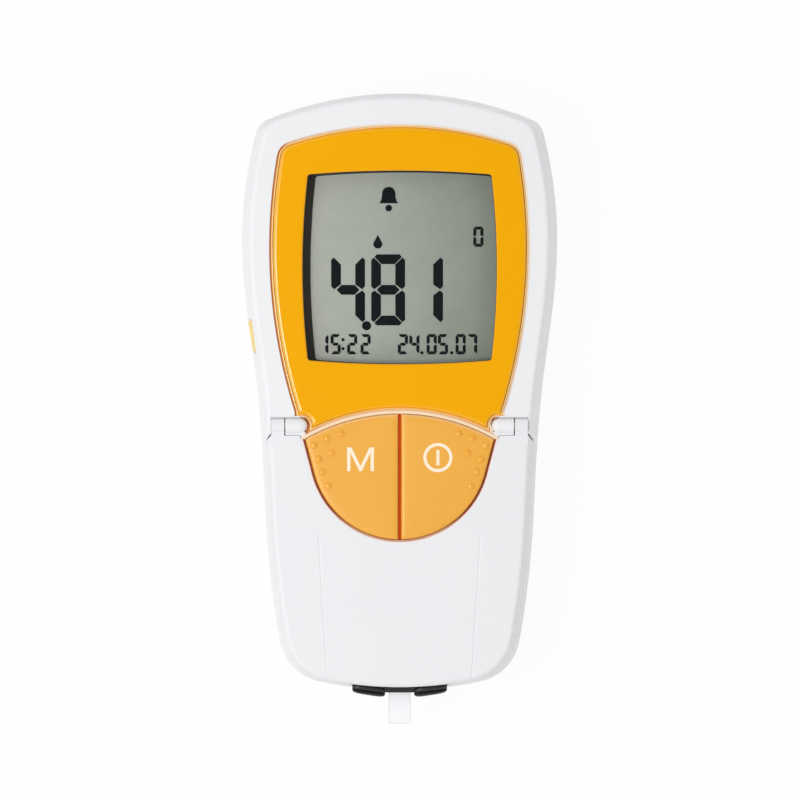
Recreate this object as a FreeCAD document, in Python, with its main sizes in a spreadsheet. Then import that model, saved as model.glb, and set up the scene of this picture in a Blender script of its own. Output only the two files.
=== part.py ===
import FreeCAD, Part
import math
import os
from types import SimpleNamespace

import Sketcher

# Hand-held blood analyzer, lying on its back: X to the right, Y to the top end, Z out of the
# display. The origin is on the flat rear face. All sizes are in millimetres.

SIZES = {
    # Housing outline as seen from the front, and its two shells
    "top_reach": 77.0,
    "bottom_reach": 76.4,
    "half_width": 40.5,
    "top_corner_round": 5.5,
    "bottom_corner_round": 13.0,
    "deck_height": 21.0,
    "parting_drop": 8.0,
    "side_draft": 2.0,
    "end_draft": 0.9,
    "rear_draft": 2.4,
    "front_edge_round": 1.0,
    "rear_edge_round": 1.6,
    "wall": 2.0,
    "deck_clear": 1.4,
    "chamber_depth": 7.0,
    "overrun": 5.0,
    # Bezel and display stack
    "bezel_foot_y": 4.8,
    "bezel_side_margin": 7.3,
    "bezel_corner_inset": 2.4,
    "bezel_foot_inset": 6.5,
    "bezel_corner_round": 4.5,
    "bezel_lower_y": 4.3,
    "bezel_end_margin": 8.1,
    "bezel_crown": 5.4,
    "bezel_widest_drop": 36.0,
    "bezel_proud": 0.7,
    "bezel_bevel": 0.6,
    "bezel_seat_depth": 2.0,
    "bezel_gap": 0.3,
    "ledge_thickness": 2.0,
    "ledge_margin": 1.5,
    "window_bottom": 7.4,
    "window_end_margin": 11.7,
    "window_side_margin": 9.6,
    "window_bulge": 1.4,
    "window_end_bulge": 1.0,
    "window_corner_round": 0.8,
    "lens_thickness": 1.3,
    "lens_margin": 1.2,
    "lens_gap": 0.2,
    "ledge_opening_margin": 0.5,
    "lcd_thickness": 2.0,
    "lcd_lip": 0.5,
    "lcd_overlap": 1.8,
    "lcd_side_overlap": 2.0,
    "lcd_lip_margin": 0.6,
    "lcd_gap": 0.2,
    "lcd_frame_wall": 1.4,
    "zebra_width": 2.4,
    "zebra_end_gap": 5.0,
    "zebra_inset": 2.5,
    # Circuit board and what it carries
    "board_thickness": 1.6,
    "board_clear": 1.6,
    "board_side": 1.5,
    "board_screw_edge": 6.5,
    "board_end": 7.0,
    "board_head_gap": 6.0,
    "board_screw_inset": 2.9,
    "board_screw_rise": 4.0,
    "board_tab_low": 9.0,
    "board_tab_high": 20.0,
    "board_boss_radius": 2.4,
    "board_screw_radius": 1.1,
    "board_screw_length": 4.0,
    "screw_head_height": 1.2,
    "screw_head_radius": 2.0,
    "screw_gap": 0.1,
    "controller_side": 12.0,
    "controller_height": 1.6,
    "driver_side": 14.0,
    "driver_height": 1.2,
    "memory_length": 9.0,
    "memory_width": 5.0,
    "capacitor_radius": 2.5,
    "capacitor_height": 2.6,
    "crystal_length": 8.0,
    "crystal_width": 3.0,
    "crystal_height": 2.2,
    "chips_drop": 16.0,
    "chips_pitch": 15.0,
    "buzzer_drop": 28.0,
    "buzzer_radius": 6.5,
    "buzzer_height": 4.0,
    "buzzer_port_radius": 1.2,
    "buzzer_side": 14.5,
    # Two front buttons and their tray
    "button_arc_gap": 1.0,
    "button_top_y": 5.4,
    "button_shoulder_gap": 1.2,
    "button_flank_inset": 2.3,
    "button_end_margin": 38.7,
    "button_split": 0.7,
    "button_proud": 0.4,
    "button_bevel": 0.7,
    "button_gap": 0.2,
    "button_travel": 0.8,
    "button_stem_radius": 2.5,
    "button_stem_x": 9.5,
    "stem_gap": 0.2,
    "tray_rim": 0.5,
    "tray_sink": 1.0,
    "tray_lift": 2.2,
    "tray_floor": 1.4,
    "tray_wall": 1.2,
    "dome_height": 2.2,
    "dome_base_radius": 4.0,
    "dome_top_radius": 2.2,
    "dome_skin": 0.6,
    # Side set button and its switch
    "set_low": 10.3,
    "set_high": 18.8,
    "set_sink": 0.6,
    "set_side_margin": 1.7,
    "set_cap_depth": 4.3,
    "set_nose_depth": 1.2,
    "set_travel": 0.6,
    "set_height": 4.0,
    "set_gap": 0.15,
    "set_flange_depth": 1.0,
    "set_flange_margin": 0.8,
    "set_nose_inset": 1.5,
    "set_round": 0.6,
    "switch_depth": 3.4,
    "switch_length": 6.2,
    "switch_height": 3.0,
    # Measuring flap and its hinge
    "flap_gap": 0.35,
    "flap_deck_gap": 0.3,
    "hinge_y": 8.4,
    "hinge_sink": 1.2,
    "barrel_radius": 2.03,
    "hinge_side_margin": 7.5,
    "knuckle_length": 3.35,
    "knuckle_gap": 0.25,
    "barrel_length": 3.8,
    "pin_depth": 2.9,
    "hinge_clear": 0.42,
    "pin_radius": 0.8,
    "pin_seat_gap": 0.02,
    "pin_run_gap": 0.06,
    "seam_drop": 2.2,
    "seam_side_gap": 0.3,
    "seam_arc_gap": 1.3,
    "seam_slope": 1.35,
    "trough_depth": 1.6,
    "hinge_block_depth": 3.6,
    "hinge_block_rear_y": 3.5,
    "web_thickness": 2.6,
    "web_reach": 4.6,
    "crease_depth": 0.25,
    "crease_top_x": 20.6,
    "crease_bottom_x": 17.8,
    "crease_width": 0.6,
    # Strip guide, test strip and reading head
    "guide_half_width": 10.0,
    "guide_lead": 10.5,
    "guide_floor": 0.8,
    "guide_rail": 1.4,
    "wing_inner_x": 4.1,
    "wing_outer_x": 12.2,
    "wing_lift": 0.2,
    "wing_height": 3.7,
    "wing_reach": 1.9,
    "wing_depth": 4.4,
    "wing_round": 1.4,
    "wing_gap": 0.35,
    "bridge_thickness": 1.4,
    "bridge_reach": 0.6,
    "bridge_depth": 0.8,
    "strip_half_width": 2.85,
    "strip_thickness": 0.45,
    "strip_reach": 8.6,
    "strip_lead": 9.0,
    "strip_gap": 0.1,
    "strip_side_gap": 0.2,
    "reading_half_length": 5.0,
    "reading_margin": 24.4,
    "reading_half_width": 4.0,
    "aperture_half_width": 2.4,
    "glass_margin": 0.8,
    "glass_gap": 0.2,
    "glass_thickness": 1.6,
    "head_half_width": 10.0,
    "head_half_length": 10.0,
    "head_depth": 11.0,
    "head_board_thickness": 1.6,
    "led_radius": 1.2,
    "led_height": 3.6,
    "led_spacing": 2.6,
    "led_offset": 3.0,
    "diode_side": 3.2,
    "diode_height": 1.2,
    "ribbon_half_width": 4.0,
    "ribbon_thickness": 0.4,
    "ribbon_lap": 4.0,
    "seal_half_width": 8.0,
    "seal_margin": 5.0,
    "seal_gap": 0.3,
    "magnet_x": 18.0,
    "magnet_margin": 12.4,
    "magnet_radius": 2.0,
    "magnet_height": 2.0,
    "sensor_length": 5.0,
    "sensor_width": 3.0,
    "sensor_height": 2.0,
    # Battery bay, cells and rear door
    "cell_length": 44.5,
    "cell_nub_radius": 1.9,
    "cell_nub_height": 1.0,
    "cell_gap": 0.4,
    "bay_side_gap": 0.6,
    "bay_end_margin": 19.0,
    "bay_wall": 1.5,
    "cell_lift": 0.3,
    "spring_depth": 4.5,
    "plate_depth": 1.0,
    "contact_side": 8.0,
    "contact_thickness": 0.5,
    "spring_base_radius": 3.6,
    "spring_tip_radius": 1.8,
    "door_thickness": 1.6,
    "door_recess": 0.2,
    "door_gap": 0.3,
    "door_pin_length": 1.2,
    "door_pin_gap": 0.06,
    "finger_notch_radius": 9.0,
    "finger_notch_depth": 0.8,
    "finger_notch_inset": 6.0,
    # Screws that close the housing
    "screw_boss_radius": 2.5,
    "screw_radius": 1.2,
    "screw_tip_cover": 1.6,
    "screw_board_gap": 1.0,
    "screw_side_margin": 14.5,
    "screw_top_drop": 8.0,
    "screw_end_margin": 16.4,
    "screw_sink": 1.2,
    # Data port at the top end
    "port_half_width": 7.0,
    "port_sink": 1.0,
    "port_height": 5.0,
    "port_gap": 0.05,
    "port_led_radius": 1.5,
    "port_led_base": 3.0,
    "port_led_height": 3.0,
    "port_led_margin": 3.4,
}

# Points of the right-hand side from the top corner to the bottom corner: shares of the half
# width, and of the housing's length counted from its lower end.
SIDE_SHARES = (
    (0.896, 0.950), (0.951, 0.889), (1.000, 0.765), (0.970, 0.637), (0.918, 0.536),
    (0.872, 0.407), (0.849, 0.285), (0.793, 0.134), (0.714, 0.029),
)

# Where the buttons' flanks end and their stems stand: shares of the buttons' height from the top
BUTTON_FLANK_SHARE = 0.461
BUTTON_STEM_SHARE = 0.452


class Length(float):
    """A length that remembers the sheet formula it was worked out from."""

    def __new__(cls, value, formula):
        length = super().__new__(cls, value)
        length.formula = formula
        return length

    def __add__(self, other):
        return Length(float(self) + float(other), f"({formula_of(self)} + {formula_of(other)})")

    def __radd__(self, other):
        return Length(float(other) + float(self), f"({formula_of(other)} + {formula_of(self)})")

    def __sub__(self, other):
        return Length(float(self) - float(other), f"({formula_of(self)} - {formula_of(other)})")

    def __rsub__(self, other):
        return Length(float(other) - float(self), f"({formula_of(other)} - {formula_of(self)})")

    def __mul__(self, factor):
        return Length(float(self) * float(factor), f"({formula_of(self)} * {formula_of(factor)})")

    def __rmul__(self, factor):
        return self * factor

    def __truediv__(self, divisor):
        return Length(float(self) / float(divisor), f"({formula_of(self)} / {formula_of(divisor)})")

    def __neg__(self):
        return Length(-float(self), f"(-1 * {formula_of(self)})")


def formula_of(value):
    return getattr(value, "formula", repr(float(value)))


doc = FreeCAD.newDocument("blood_analyzer")
sheet = doc.addObject("Spreadsheet::Sheet", "sizes")
for row, (name, value) in enumerate(SIZES.items(), start=1):
    sheet.set(f"A{row}", name)
    sheet.set(f"B{row}", str(value))
    sheet.setAlias(f"B{row}", name)
doc.recompute()
s = SimpleNamespace(**{name: Length(sheet.get(name), f"sizes.{name}") for name in SIZES})

# Heights, worked out from the deck of the measuring chamber down and up
s.parting_height = s.deck_height - s.parting_drop
s.board_z = s.deck_height - s.wall - s.deck_clear - s.board_thickness
s.bay_ceiling = s.board_z - s.board_clear - s.bay_wall
cell_low = s.door_recess + s.door_thickness + s.cell_lift
s.cell_radius = (s.bay_ceiling - s.cell_lift - cell_low) / 2
s.cell_z = cell_low + s.cell_radius
s.cell_pitch = s.cell_radius * 2 + s.cell_gap
s.screw_length = s.deck_height - s.wall - s.screw_tip_cover - s.screw_sink - s.screw_head_height
s.front_height = s.deck_height + s.chamber_depth
s.hinge_z = s.front_height - s.hinge_sink
s.tray_floor_low = s.deck_height + s.tray_lift
s.tray_floor_high = s.tray_floor_low + s.tray_floor
s.tray_high = s.front_height - s.tray_sink
s.button_cap_low = s.tray_floor_high + s.button_travel + s.button_gap
s.button_cap_high = s.front_height + s.button_proud
s.set_z = s.board_z - s.set_sink
s.port_low = s.board_z - s.port_sink
s.port_high = s.port_low + s.port_height

# Places along the length, worked out from the two ends inwards
s.bezel_top = s.top_reach - s.bezel_end_margin
s.bezel_corner_y = s.bezel_top - s.bezel_crown
s.bezel_widest_y = s.top_reach - s.bezel_widest_drop
s.window_top = s.bezel_top - s.window_end_margin
s.lcd_top = s.window_top + s.lcd_overlap
s.lcd_bottom = s.window_bottom - s.lcd_overlap
s.board_top = s.lcd_top + s.board_end
s.board_screw_top = s.board_top - s.board_screw_inset
s.screw_top_y = s.board_top - s.screw_top_drop
s.port_led_reach = s.top_reach - s.port_led_margin
s.bay_high = s.top_reach - s.bay_end_margin
s.bay_low = s.bay_high - s.spring_depth - s.cell_length - s.plate_depth
s.chips_y = s.chips_drop - s.bay_low
s.buzzer_y = s.buzzer_drop - s.bay_low
s.reading_y = s.bottom_reach - s.reading_margin
s.board_bottom = s.reading_y - s.head_half_length - s.board_head_gap
s.board_screw_bottom = s.board_bottom - s.board_screw_rise
s.screw_bottom_y = s.bottom_reach - s.screw_end_margin
s.magnet_y = s.bottom_reach - s.magnet_margin
s.guide_top = s.reading_y - s.guide_lead
s.wing_low = s.bottom_reach + s.wing_reach
s.wing_high = s.bottom_reach - s.wing_depth
s.bridge_low = s.bottom_reach + s.bridge_reach
s.bridge_high = s.bottom_reach - s.bridge_depth
s.strip_end = s.bottom_reach + s.strip_reach
s.strip_inner_end = s.reading_y - s.strip_lead
s.button_bottom_y = s.bottom_reach - s.button_end_margin
button_height = s.button_bottom_y - s.button_top_y
s.button_flank_y = s.button_top_y + button_height * BUTTON_FLANK_SHARE
s.button_stem_y = s.button_top_y + button_height * BUTTON_STEM_SHARE

# Places across the width, worked out from the sides inwards
s.bezel_half_width = s.half_width - s.bezel_side_margin
s.bezel_corner_x = s.bezel_half_width - s.bezel_corner_inset
s.bezel_foot_x = s.bezel_half_width - s.bezel_foot_inset
s.window_corner_x = s.bezel_half_width - s.window_side_margin
s.lcd_half_width = s.window_corner_x + s.window_bulge + s.lcd_side_overlap
s.zebra_half_length = s.lcd_half_width - s.zebra_end_gap
s.board_half_width = s.lcd_half_width + s.board_side
s.board_screw_x = s.board_half_width - s.board_screw_edge
s.buzzer_x = s.board_half_width - s.buzzer_side
s.screw_top_x = s.board_half_width + s.screw_boss_radius + s.screw_board_gap
s.screw_bottom_x = s.half_width - s.screw_side_margin
s.set_reach = s.half_width - s.set_side_margin
s.set_flange_x = s.set_reach - s.set_cap_depth
s.set_nose_reach = s.set_flange_x - s.set_nose_depth
s.switch_reach = s.set_nose_reach - s.set_travel - s.set_gap
s.board_tab_reach = s.switch_reach + s.screw_gap
s.knuckle_outer_x = s.half_width - s.hinge_side_margin
s.knuckle_inner_x = s.knuckle_outer_x - s.knuckle_length
s.barrel_outer_x = s.knuckle_inner_x - s.knuckle_gap
s.barrel_dome_x = s.barrel_outer_x - s.barrel_length
s.pin_inner_x = s.barrel_outer_x - s.pin_depth
s.seam_x = s.knuckle_outer_x + s.seam_side_gap
s.hinge_block_inner_x = s.barrel_dome_x - s.hinge_block_depth
s.button_shoulder_x = s.barrel_dome_x - s.button_shoulder_gap
s.button_flank_x = s.button_shoulder_x - s.button_flank_inset

nodes = {}


def node(label, feature):
    """Name a finished sub-part."""
    feature.Label = label
    nodes[label] = feature
    return feature


def tie(feature, prop, value):
    """Bind a property to the sheet formula of a length."""
    feature.setExpression(prop, formula_of(value))


def put(feature, x, y, z):
    tie(feature, "Placement.Base.x", x)
    tie(feature, "Placement.Base.y", y)
    tie(feature, "Placement.Base.z", z)
    return feature


def block(name, x, y, z):
    """A box between pairs of low and high coordinates."""
    box = doc.addObject("Part::Box", name)
    for prop, (low, high) in zip(("Length", "Width", "Height"), (x, y, z)):
        tie(box, prop, high - low)
    return put(box, x[0], y[0], z[0])


TURNS = {
    "X": FreeCAD.Rotation(FreeCAD.Vector(0, 1, 0), 90),
    "Y": FreeCAD.Rotation(FreeCAD.Vector(1, 0, 0), -90),
    "Z": FreeCAD.Rotation(),
}


def rod(name, radius, start, length, along="Z"):
    """A cylinder from its start point along one axis."""
    cylinder = doc.addObject("Part::Cylinder", name)
    tie(cylinder, "Radius", radius)
    tie(cylinder, "Height", length)
    cylinder.Placement.Rotation = TURNS[along]
    return put(cylinder, *start)


def cone(name, low_radius, high_radius, start, length, along="Z", back=False):
    """A truncated cone from its start point along one axis, or back along it."""
    taper = doc.addObject("Part::Cone", name)
    tie(taper, "Radius1", low_radius)
    tie(taper, "Radius2", high_radius)
    tie(taper, "Height", length)
    flip = FreeCAD.Rotation(FreeCAD.Vector(0, 1, 0), 180) if back else FreeCAD.Rotation()
    taper.Placement.Rotation = TURNS[along].multiply(flip)
    return put(taper, *start)


def cut(name, base, tool):
    feature = doc.addObject("Part::Cut", name)
    feature.Base = base
    feature.Tool = tool
    return feature


def fuse(name, *pieces):
    feature = doc.addObject("Part::MultiFuse", name)
    feature.Shapes = list(pieces)
    return feature


def group(name, pieces):
    """Several loose solids that share one node."""
    feature = doc.addObject("Part::Compound", name)
    feature.Links = pieces
    return feature


def origin_plane(body, role):
    return next(plane for plane in body.Origin.OriginFeatures if plane.Role == role)


def closed_sketch(body, name, corners, role, level):
    """A closed polygon whose corners are dimensioned from the origin, at a level on its plane."""
    sketch = body.newObject("Sketcher::SketchObject", name)
    sketch.AttachmentSupport = [(origin_plane(body, role), "")]
    sketch.MapMode = "FlatFace"
    tie(sketch, "AttachmentOffset.Base.z", level)
    count = len(corners)
    for index, (x, y) in enumerate(corners):
        after_x, after_y = corners[(index + 1) % count]
        sketch.addGeometry(Part.LineSegment(
            FreeCAD.Vector(x, y, 0), FreeCAD.Vector(after_x, after_y, 0)))
    for index in range(count):
        sketch.addConstraint(Sketcher.Constraint("Coincident", index, 2, (index + 1) % count, 1))
    for index, corner in enumerate(corners):
        for kind, value in zip(("DistanceX", "DistanceY"), corner):
            place = sketch.addConstraint(Sketcher.Constraint(kind, -1, 1, index, 1, float(value)))
            tie(sketch, f"Constraints[{place}]", value)
    return sketch


def pad(body, name, corners, low, high, role="XY_Plane"):
    """Material between two levels over a polygon."""
    feature = body.newObject("PartDesign::Pad", name)
    feature.Profile = closed_sketch(body, f"{name}_sketch", corners, role, low)
    tie(feature, "Length", high - low)
    return feature


def pocket(body, name, corners, low, high):
    """A cut between two levels over a polygon, taken downwards from the higher level."""
    feature = body.newObject("PartDesign::Pocket", name)
    feature.Profile = closed_sketch(body, f"{name}_sketch", corners, "XY_Plane", high)
    tie(feature, "Length", high - low)
    return feature


def oblong(x_low, x_high, y_low, y_high):
    return [(x_low, y_low), (x_high, y_low), (x_high, y_high), (x_low, y_high)]


def new_body(name):
    return doc.addObject("PartDesign::Body", name)


def freeform(name, shape):
    """A sub-part whose curved shape is worked out from the sheet's sizes."""
    feature = doc.addObject("Part::Feature", name)
    feature.Shape = shape.removeSplitter()
    feature.Placement = FreeCAD.Placement()
    return feature


def at(x, y, z=0):
    return FreeCAD.Vector(x, y, z)


def brick(x, y, z):
    """A plain box shape between pairs of coordinates, for cuts in curved pieces."""
    return Part.makeBox(x[1] - x[0], y[1] - y[0], z[1] - z[0], at(x[0], y[0], z[0]))


def both_sides(shape):
    """A shape and its mirror image across the centre plane."""
    return [shape, shape.mirror(at(0, 0), FreeCAD.Vector(1, 0, 0))]


def column(x, y, low, high, radius):
    return Part.makeCylinder(radius, high - low, at(x, y, low))


def arc(start, middle, end):
    return Part.Arc(at(*start), at(*middle), at(*end)).toShape()


def line(start, end):
    return Part.LineSegment(at(*start), at(*end)).toShape()


def prism(wire, low, high):
    """A flat outline raised between two heights."""
    lifted = wire.copy()
    lifted.translate(at(0, 0, low))
    return Part.Face(lifted).extrude(at(0, 0, high - low))


def grown(wire, distance):
    """An outline moved outwards, or inwards where the distance is negative."""
    if distance == 0:
        return wire
    return Part.Face(wire).makeOffset2D(distance, 2, False, False, False).OuterWire


# Housing outline

housing_length = s.top_reach + s.bottom_reach
side_points = [
    at(width_share * s.half_width, height_share * housing_length - s.bottom_reach)
    for width_share, height_share in SIDE_SHARES
]
side_curve = Part.BSplineCurve()
side_curve.interpolate(side_points)


def side_normal(point):
    tangent = side_curve.tangent(side_curve.parameter(point))[0]
    return FreeCAD.Vector(-tangent.y, tangent.x, 0)


def arc_normal(corner, crown):
    """Outward normal, at a corner, of the arc from there over a crown on the centre line."""
    rise = crown - corner.y
    radius = (corner.x ** 2 + rise ** 2) / (2 * rise)
    return (corner - at(0, crown - radius)).normalize()


def moved_corner(point, side_inset, end_normal, end_inset):
    """Where the side and the end meet once each is moved in by its own inset."""
    side = side_normal(point)
    turn = side.x * end_normal.y - side.y * end_normal.x
    shift_x = (-side_inset * end_normal.y + end_inset * side.y) / turn
    shift_y = (-side.x * end_inset + end_normal.x * side_inset) / turn
    return point + at(shift_x, shift_y)


def outline(side_inset, end_inset, height):
    """Housing outline at a height: two end arcs and two side curves, moved in by the insets."""
    top, bottom = side_points[0], side_points[-1]
    points = [point - side_normal(point) * side_inset for point in side_points]
    points[0] = moved_corner(top, side_inset, arc_normal(top, s.top_reach), end_inset)
    points[-1] = moved_corner(bottom, side_inset, arc_normal(bottom, -s.bottom_reach), end_inset)
    right = Part.BSplineCurve()
    right.interpolate(points)
    left = Part.BSplineCurve()
    left.interpolate([at(-point.x, point.y) for point in reversed(points)])
    high, low = points[0], points[-1]
    edges = [
        arc((-high.x, high.y), (0, s.top_reach - end_inset), (high.x, high.y)),
        right.toShape(),
        arc((low.x, low.y), (0, end_inset - s.bottom_reach), (-low.x, low.y)),
        left.toShape(),
    ]
    wire = Part.Wire(edges)
    wire.translate(at(0, 0, height))
    return wire


def at_height(shape, height):
    """Edges of a shape that lie flat at a height."""
    return [
        edge for edge in shape.Edges
        if math.isclose(edge.BoundBox.ZMin, height, abs_tol=edge_tolerance)
        and math.isclose(edge.BoundBox.ZMax, height, abs_tol=edge_tolerance)
    ]


edge_tolerance = s.wall / 1000


def envelope(low_insets, low, high_insets, high, inset=0):
    """Drafted block between two heights, with its four upright corners rounded."""
    wires = [
        outline(low_insets[0] + inset, low_insets[1] + inset, low),
        outline(high_insets[0] + inset, high_insets[1] + inset, high),
    ]
    solid = Part.makeLoft(wires, True, True)
    for radius, direction in ((s.top_corner_round, 1), (s.bottom_corner_round, -1)):
        corners = [
            edge for edge in solid.Edges
            if edge.BoundBox.ZLength > (high - low) / 2 and edge.BoundBox.Center.y * direction > 0
            and len(edge.Vertexes) == 2 and abs(edge.BoundBox.Center.x) > s.half_width / 4
        ]
        solid = solid.makeFillet(radius - inset, corners)
    return solid


front_insets = (s.side_draft, s.end_draft)
rear_insets = (s.rear_draft, s.rear_draft)
front_block = envelope((0, 0), s.parting_height, front_insets, s.front_height)
front_block = front_block.makeFillet(s.front_edge_round, at_height(front_block, s.front_height))
front_hollow = envelope((0, 0), s.parting_height, front_insets, s.front_height, s.wall)
rear_block = envelope(rear_insets, 0, (0, 0), s.parting_height)
rear_block = rear_block.makeFillet(s.rear_edge_round, at_height(rear_block, 0))
rear_hollow = envelope(rear_insets, 0, (0, 0), s.parting_height, s.wall)

far_x = s.half_width + s.overrun
far_low = -s.bottom_reach - s.overrun
far_high = s.top_reach + s.overrun
above = s.front_height + s.overrun
ceiling = s.front_height - s.wall
deck_under = s.deck_height - s.wall


def slab(low, high):
    """Everything inside the plan of the part between two heights."""
    return brick((-far_x, far_x), (far_low, far_high), (low, high))


# Plans of the pieces that show on the front

seam_y = -s.hinge_y - s.seam_drop
seam_arc_x = s.barrel_dome_x - s.seam_arc_gap
seam_arc_drop = -s.bezel_lower_y - seam_y
lower_radius = (seam_arc_x ** 2 + seam_arc_drop ** 2) / (2 * seam_arc_drop)
button_top_radius = lower_radius - s.button_arc_gap


def lower_arc_x(drop):
    """Half width of the bezel's lower edge arc, a drop below its crown."""
    return math.sqrt(2 * lower_radius * drop - drop ** 2)


def chamber_plan():
    """The field of the deck: below the hinge seam and the bezel's lower edge."""
    outer_y = seam_y - (far_x - s.seam_x) * s.seam_slope
    return Part.Wire([
        arc((-seam_arc_x, seam_y), (0, -s.bezel_lower_y), (seam_arc_x, seam_y)),
        line((seam_arc_x, seam_y), (s.seam_x, seam_y)),
        line((s.seam_x, seam_y), (far_x, outer_y)),
        line((far_x, outer_y), (far_x, far_low)),
        line((far_x, far_low), (-far_x, far_low)),
        line((-far_x, far_low), (-far_x, outer_y)),
        line((-far_x, outer_y), (-s.seam_x, seam_y)),
        line((-s.seam_x, seam_y), (-seam_arc_x, seam_y)),
    ])


def button_plan():
    """Outline of the two buttons together: a crown arc, straight flanks and a round foot."""
    crown_drop = button_top_radius - math.sqrt(button_top_radius ** 2 - s.button_shoulder_x ** 2)
    shoulder = -s.button_top_y - crown_drop
    return Part.Wire([
        arc((-s.button_shoulder_x, shoulder), (0, -s.button_top_y), (s.button_shoulder_x, shoulder)),
        line((s.button_shoulder_x, shoulder), (s.button_flank_x, -s.button_flank_y)),
        arc((s.button_flank_x, -s.button_flank_y), (0, -s.button_bottom_y),
            (-s.button_flank_x, -s.button_flank_y)),
        line((-s.button_flank_x, -s.button_flank_y), (-s.button_shoulder_x, shoulder)),
    ])


def bezel_plan():
    """Outline of the bezel: crowned top, bulging sides, hollow lower edge."""
    tip_y = seam_y + s.bezel_gap
    tip_x = lower_arc_x(-s.bezel_lower_y - tip_y)
    return Part.Wire([
        arc((-s.bezel_corner_x, s.bezel_corner_y), (0, s.bezel_top),
            (s.bezel_corner_x, s.bezel_corner_y)),
        arc((s.bezel_corner_x, s.bezel_corner_y), (s.bezel_half_width, s.bezel_widest_y),
            (s.bezel_foot_x, -s.bezel_foot_y)),
        line((s.bezel_foot_x, -s.bezel_foot_y), (s.bezel_foot_x, tip_y)),
        line((s.bezel_foot_x, tip_y), (tip_x, tip_y)),
        arc((tip_x, tip_y), (0, -s.bezel_lower_y), (-tip_x, tip_y)),
        line((-tip_x, tip_y), (-s.bezel_foot_x, tip_y)),
        line((-s.bezel_foot_x, tip_y), (-s.bezel_foot_x, -s.bezel_foot_y)),
        arc((-s.bezel_foot_x, -s.bezel_foot_y), (-s.bezel_half_width, s.bezel_widest_y),
            (-s.bezel_corner_x, s.bezel_corner_y)),
    ])


def upright_edges(solid, height, low_y):
    """Upright edges of a raised outline that stand beyond a place along Y."""
    return [
        edge for edge in solid.Edges
        if math.isclose(edge.BoundBox.ZLength, height, abs_tol=edge_tolerance)
        and len(edge.Vertexes) == 2 and edge.BoundBox.Center.y > low_y
    ]


def bezel_prism(margin, low, high):
    """The bezel's outline, moved outwards by a margin and raised, with its top corners rounded."""
    solid = prism(grown(bezel_plan(), margin), low, high)
    corners = upright_edges(solid, high - low, s.bezel_widest_y)
    return solid.makeFillet(s.bezel_corner_round + margin, corners)


def window_plan():
    """Barrel-shaped outline of the display opening."""
    corner_x = s.window_corner_x
    high = s.window_top - s.window_end_bulge
    low = s.window_bottom + s.window_end_bulge
    middle = (high + low) / 2
    return Part.Wire([
        arc((-corner_x, high), (0, s.window_top), (corner_x, high)),
        arc((corner_x, high), (corner_x + s.window_bulge, middle), (corner_x, low)),
        arc((corner_x, low), (0, s.window_bottom), (-corner_x, low)),
        arc((-corner_x, low), (-corner_x - s.window_bulge, middle), (-corner_x, high)),
    ])


def window_prism(margin, low, high):
    """The display opening, moved outwards by a margin and raised, with its corners rounded."""
    solid = prism(grown(window_plan(), margin), low, high)
    return solid.makeFillet(s.window_corner_round + margin, upright_edges(solid, high - low, far_low))


def hinge_field(radius, low):
    """Room round the hinge barrels in plan, from a height upwards."""
    round_end = column(s.barrel_dome_x, -s.hinge_y, low, above, radius)
    straight = brick((s.barrel_dome_x, s.knuckle_outer_x + s.bezel_gap),
                     (-s.hinge_y - radius, -s.hinge_y + radius), (low, above))
    return round_end.fuse(straight)


barrel_room = s.barrel_radius + s.hinge_clear
tray_grow = s.button_gap + s.tray_rim
stem_places = ((-s.button_stem_x, -s.button_stem_y), (s.button_stem_x, -s.button_stem_y))
board_top_z = s.board_z + s.board_thickness
seat_z = s.front_height - s.bezel_seat_depth
ledge_z = seat_z - s.ledge_thickness
board_screw_places = [
    (side * s.board_screw_x, y)
    for side in (-1, 1) for y in (s.board_screw_top, -s.board_screw_bottom)
]
housing_screw_places = [
    (side * x, y) for side in (-1, 1)
    for x, y in ((s.screw_top_x, s.screw_top_y), (s.screw_bottom_x, -s.screw_bottom_y))
]


# Front housing: drafted shell with the display seat, the sunk deck, hinge barrels and screw bosses

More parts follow.
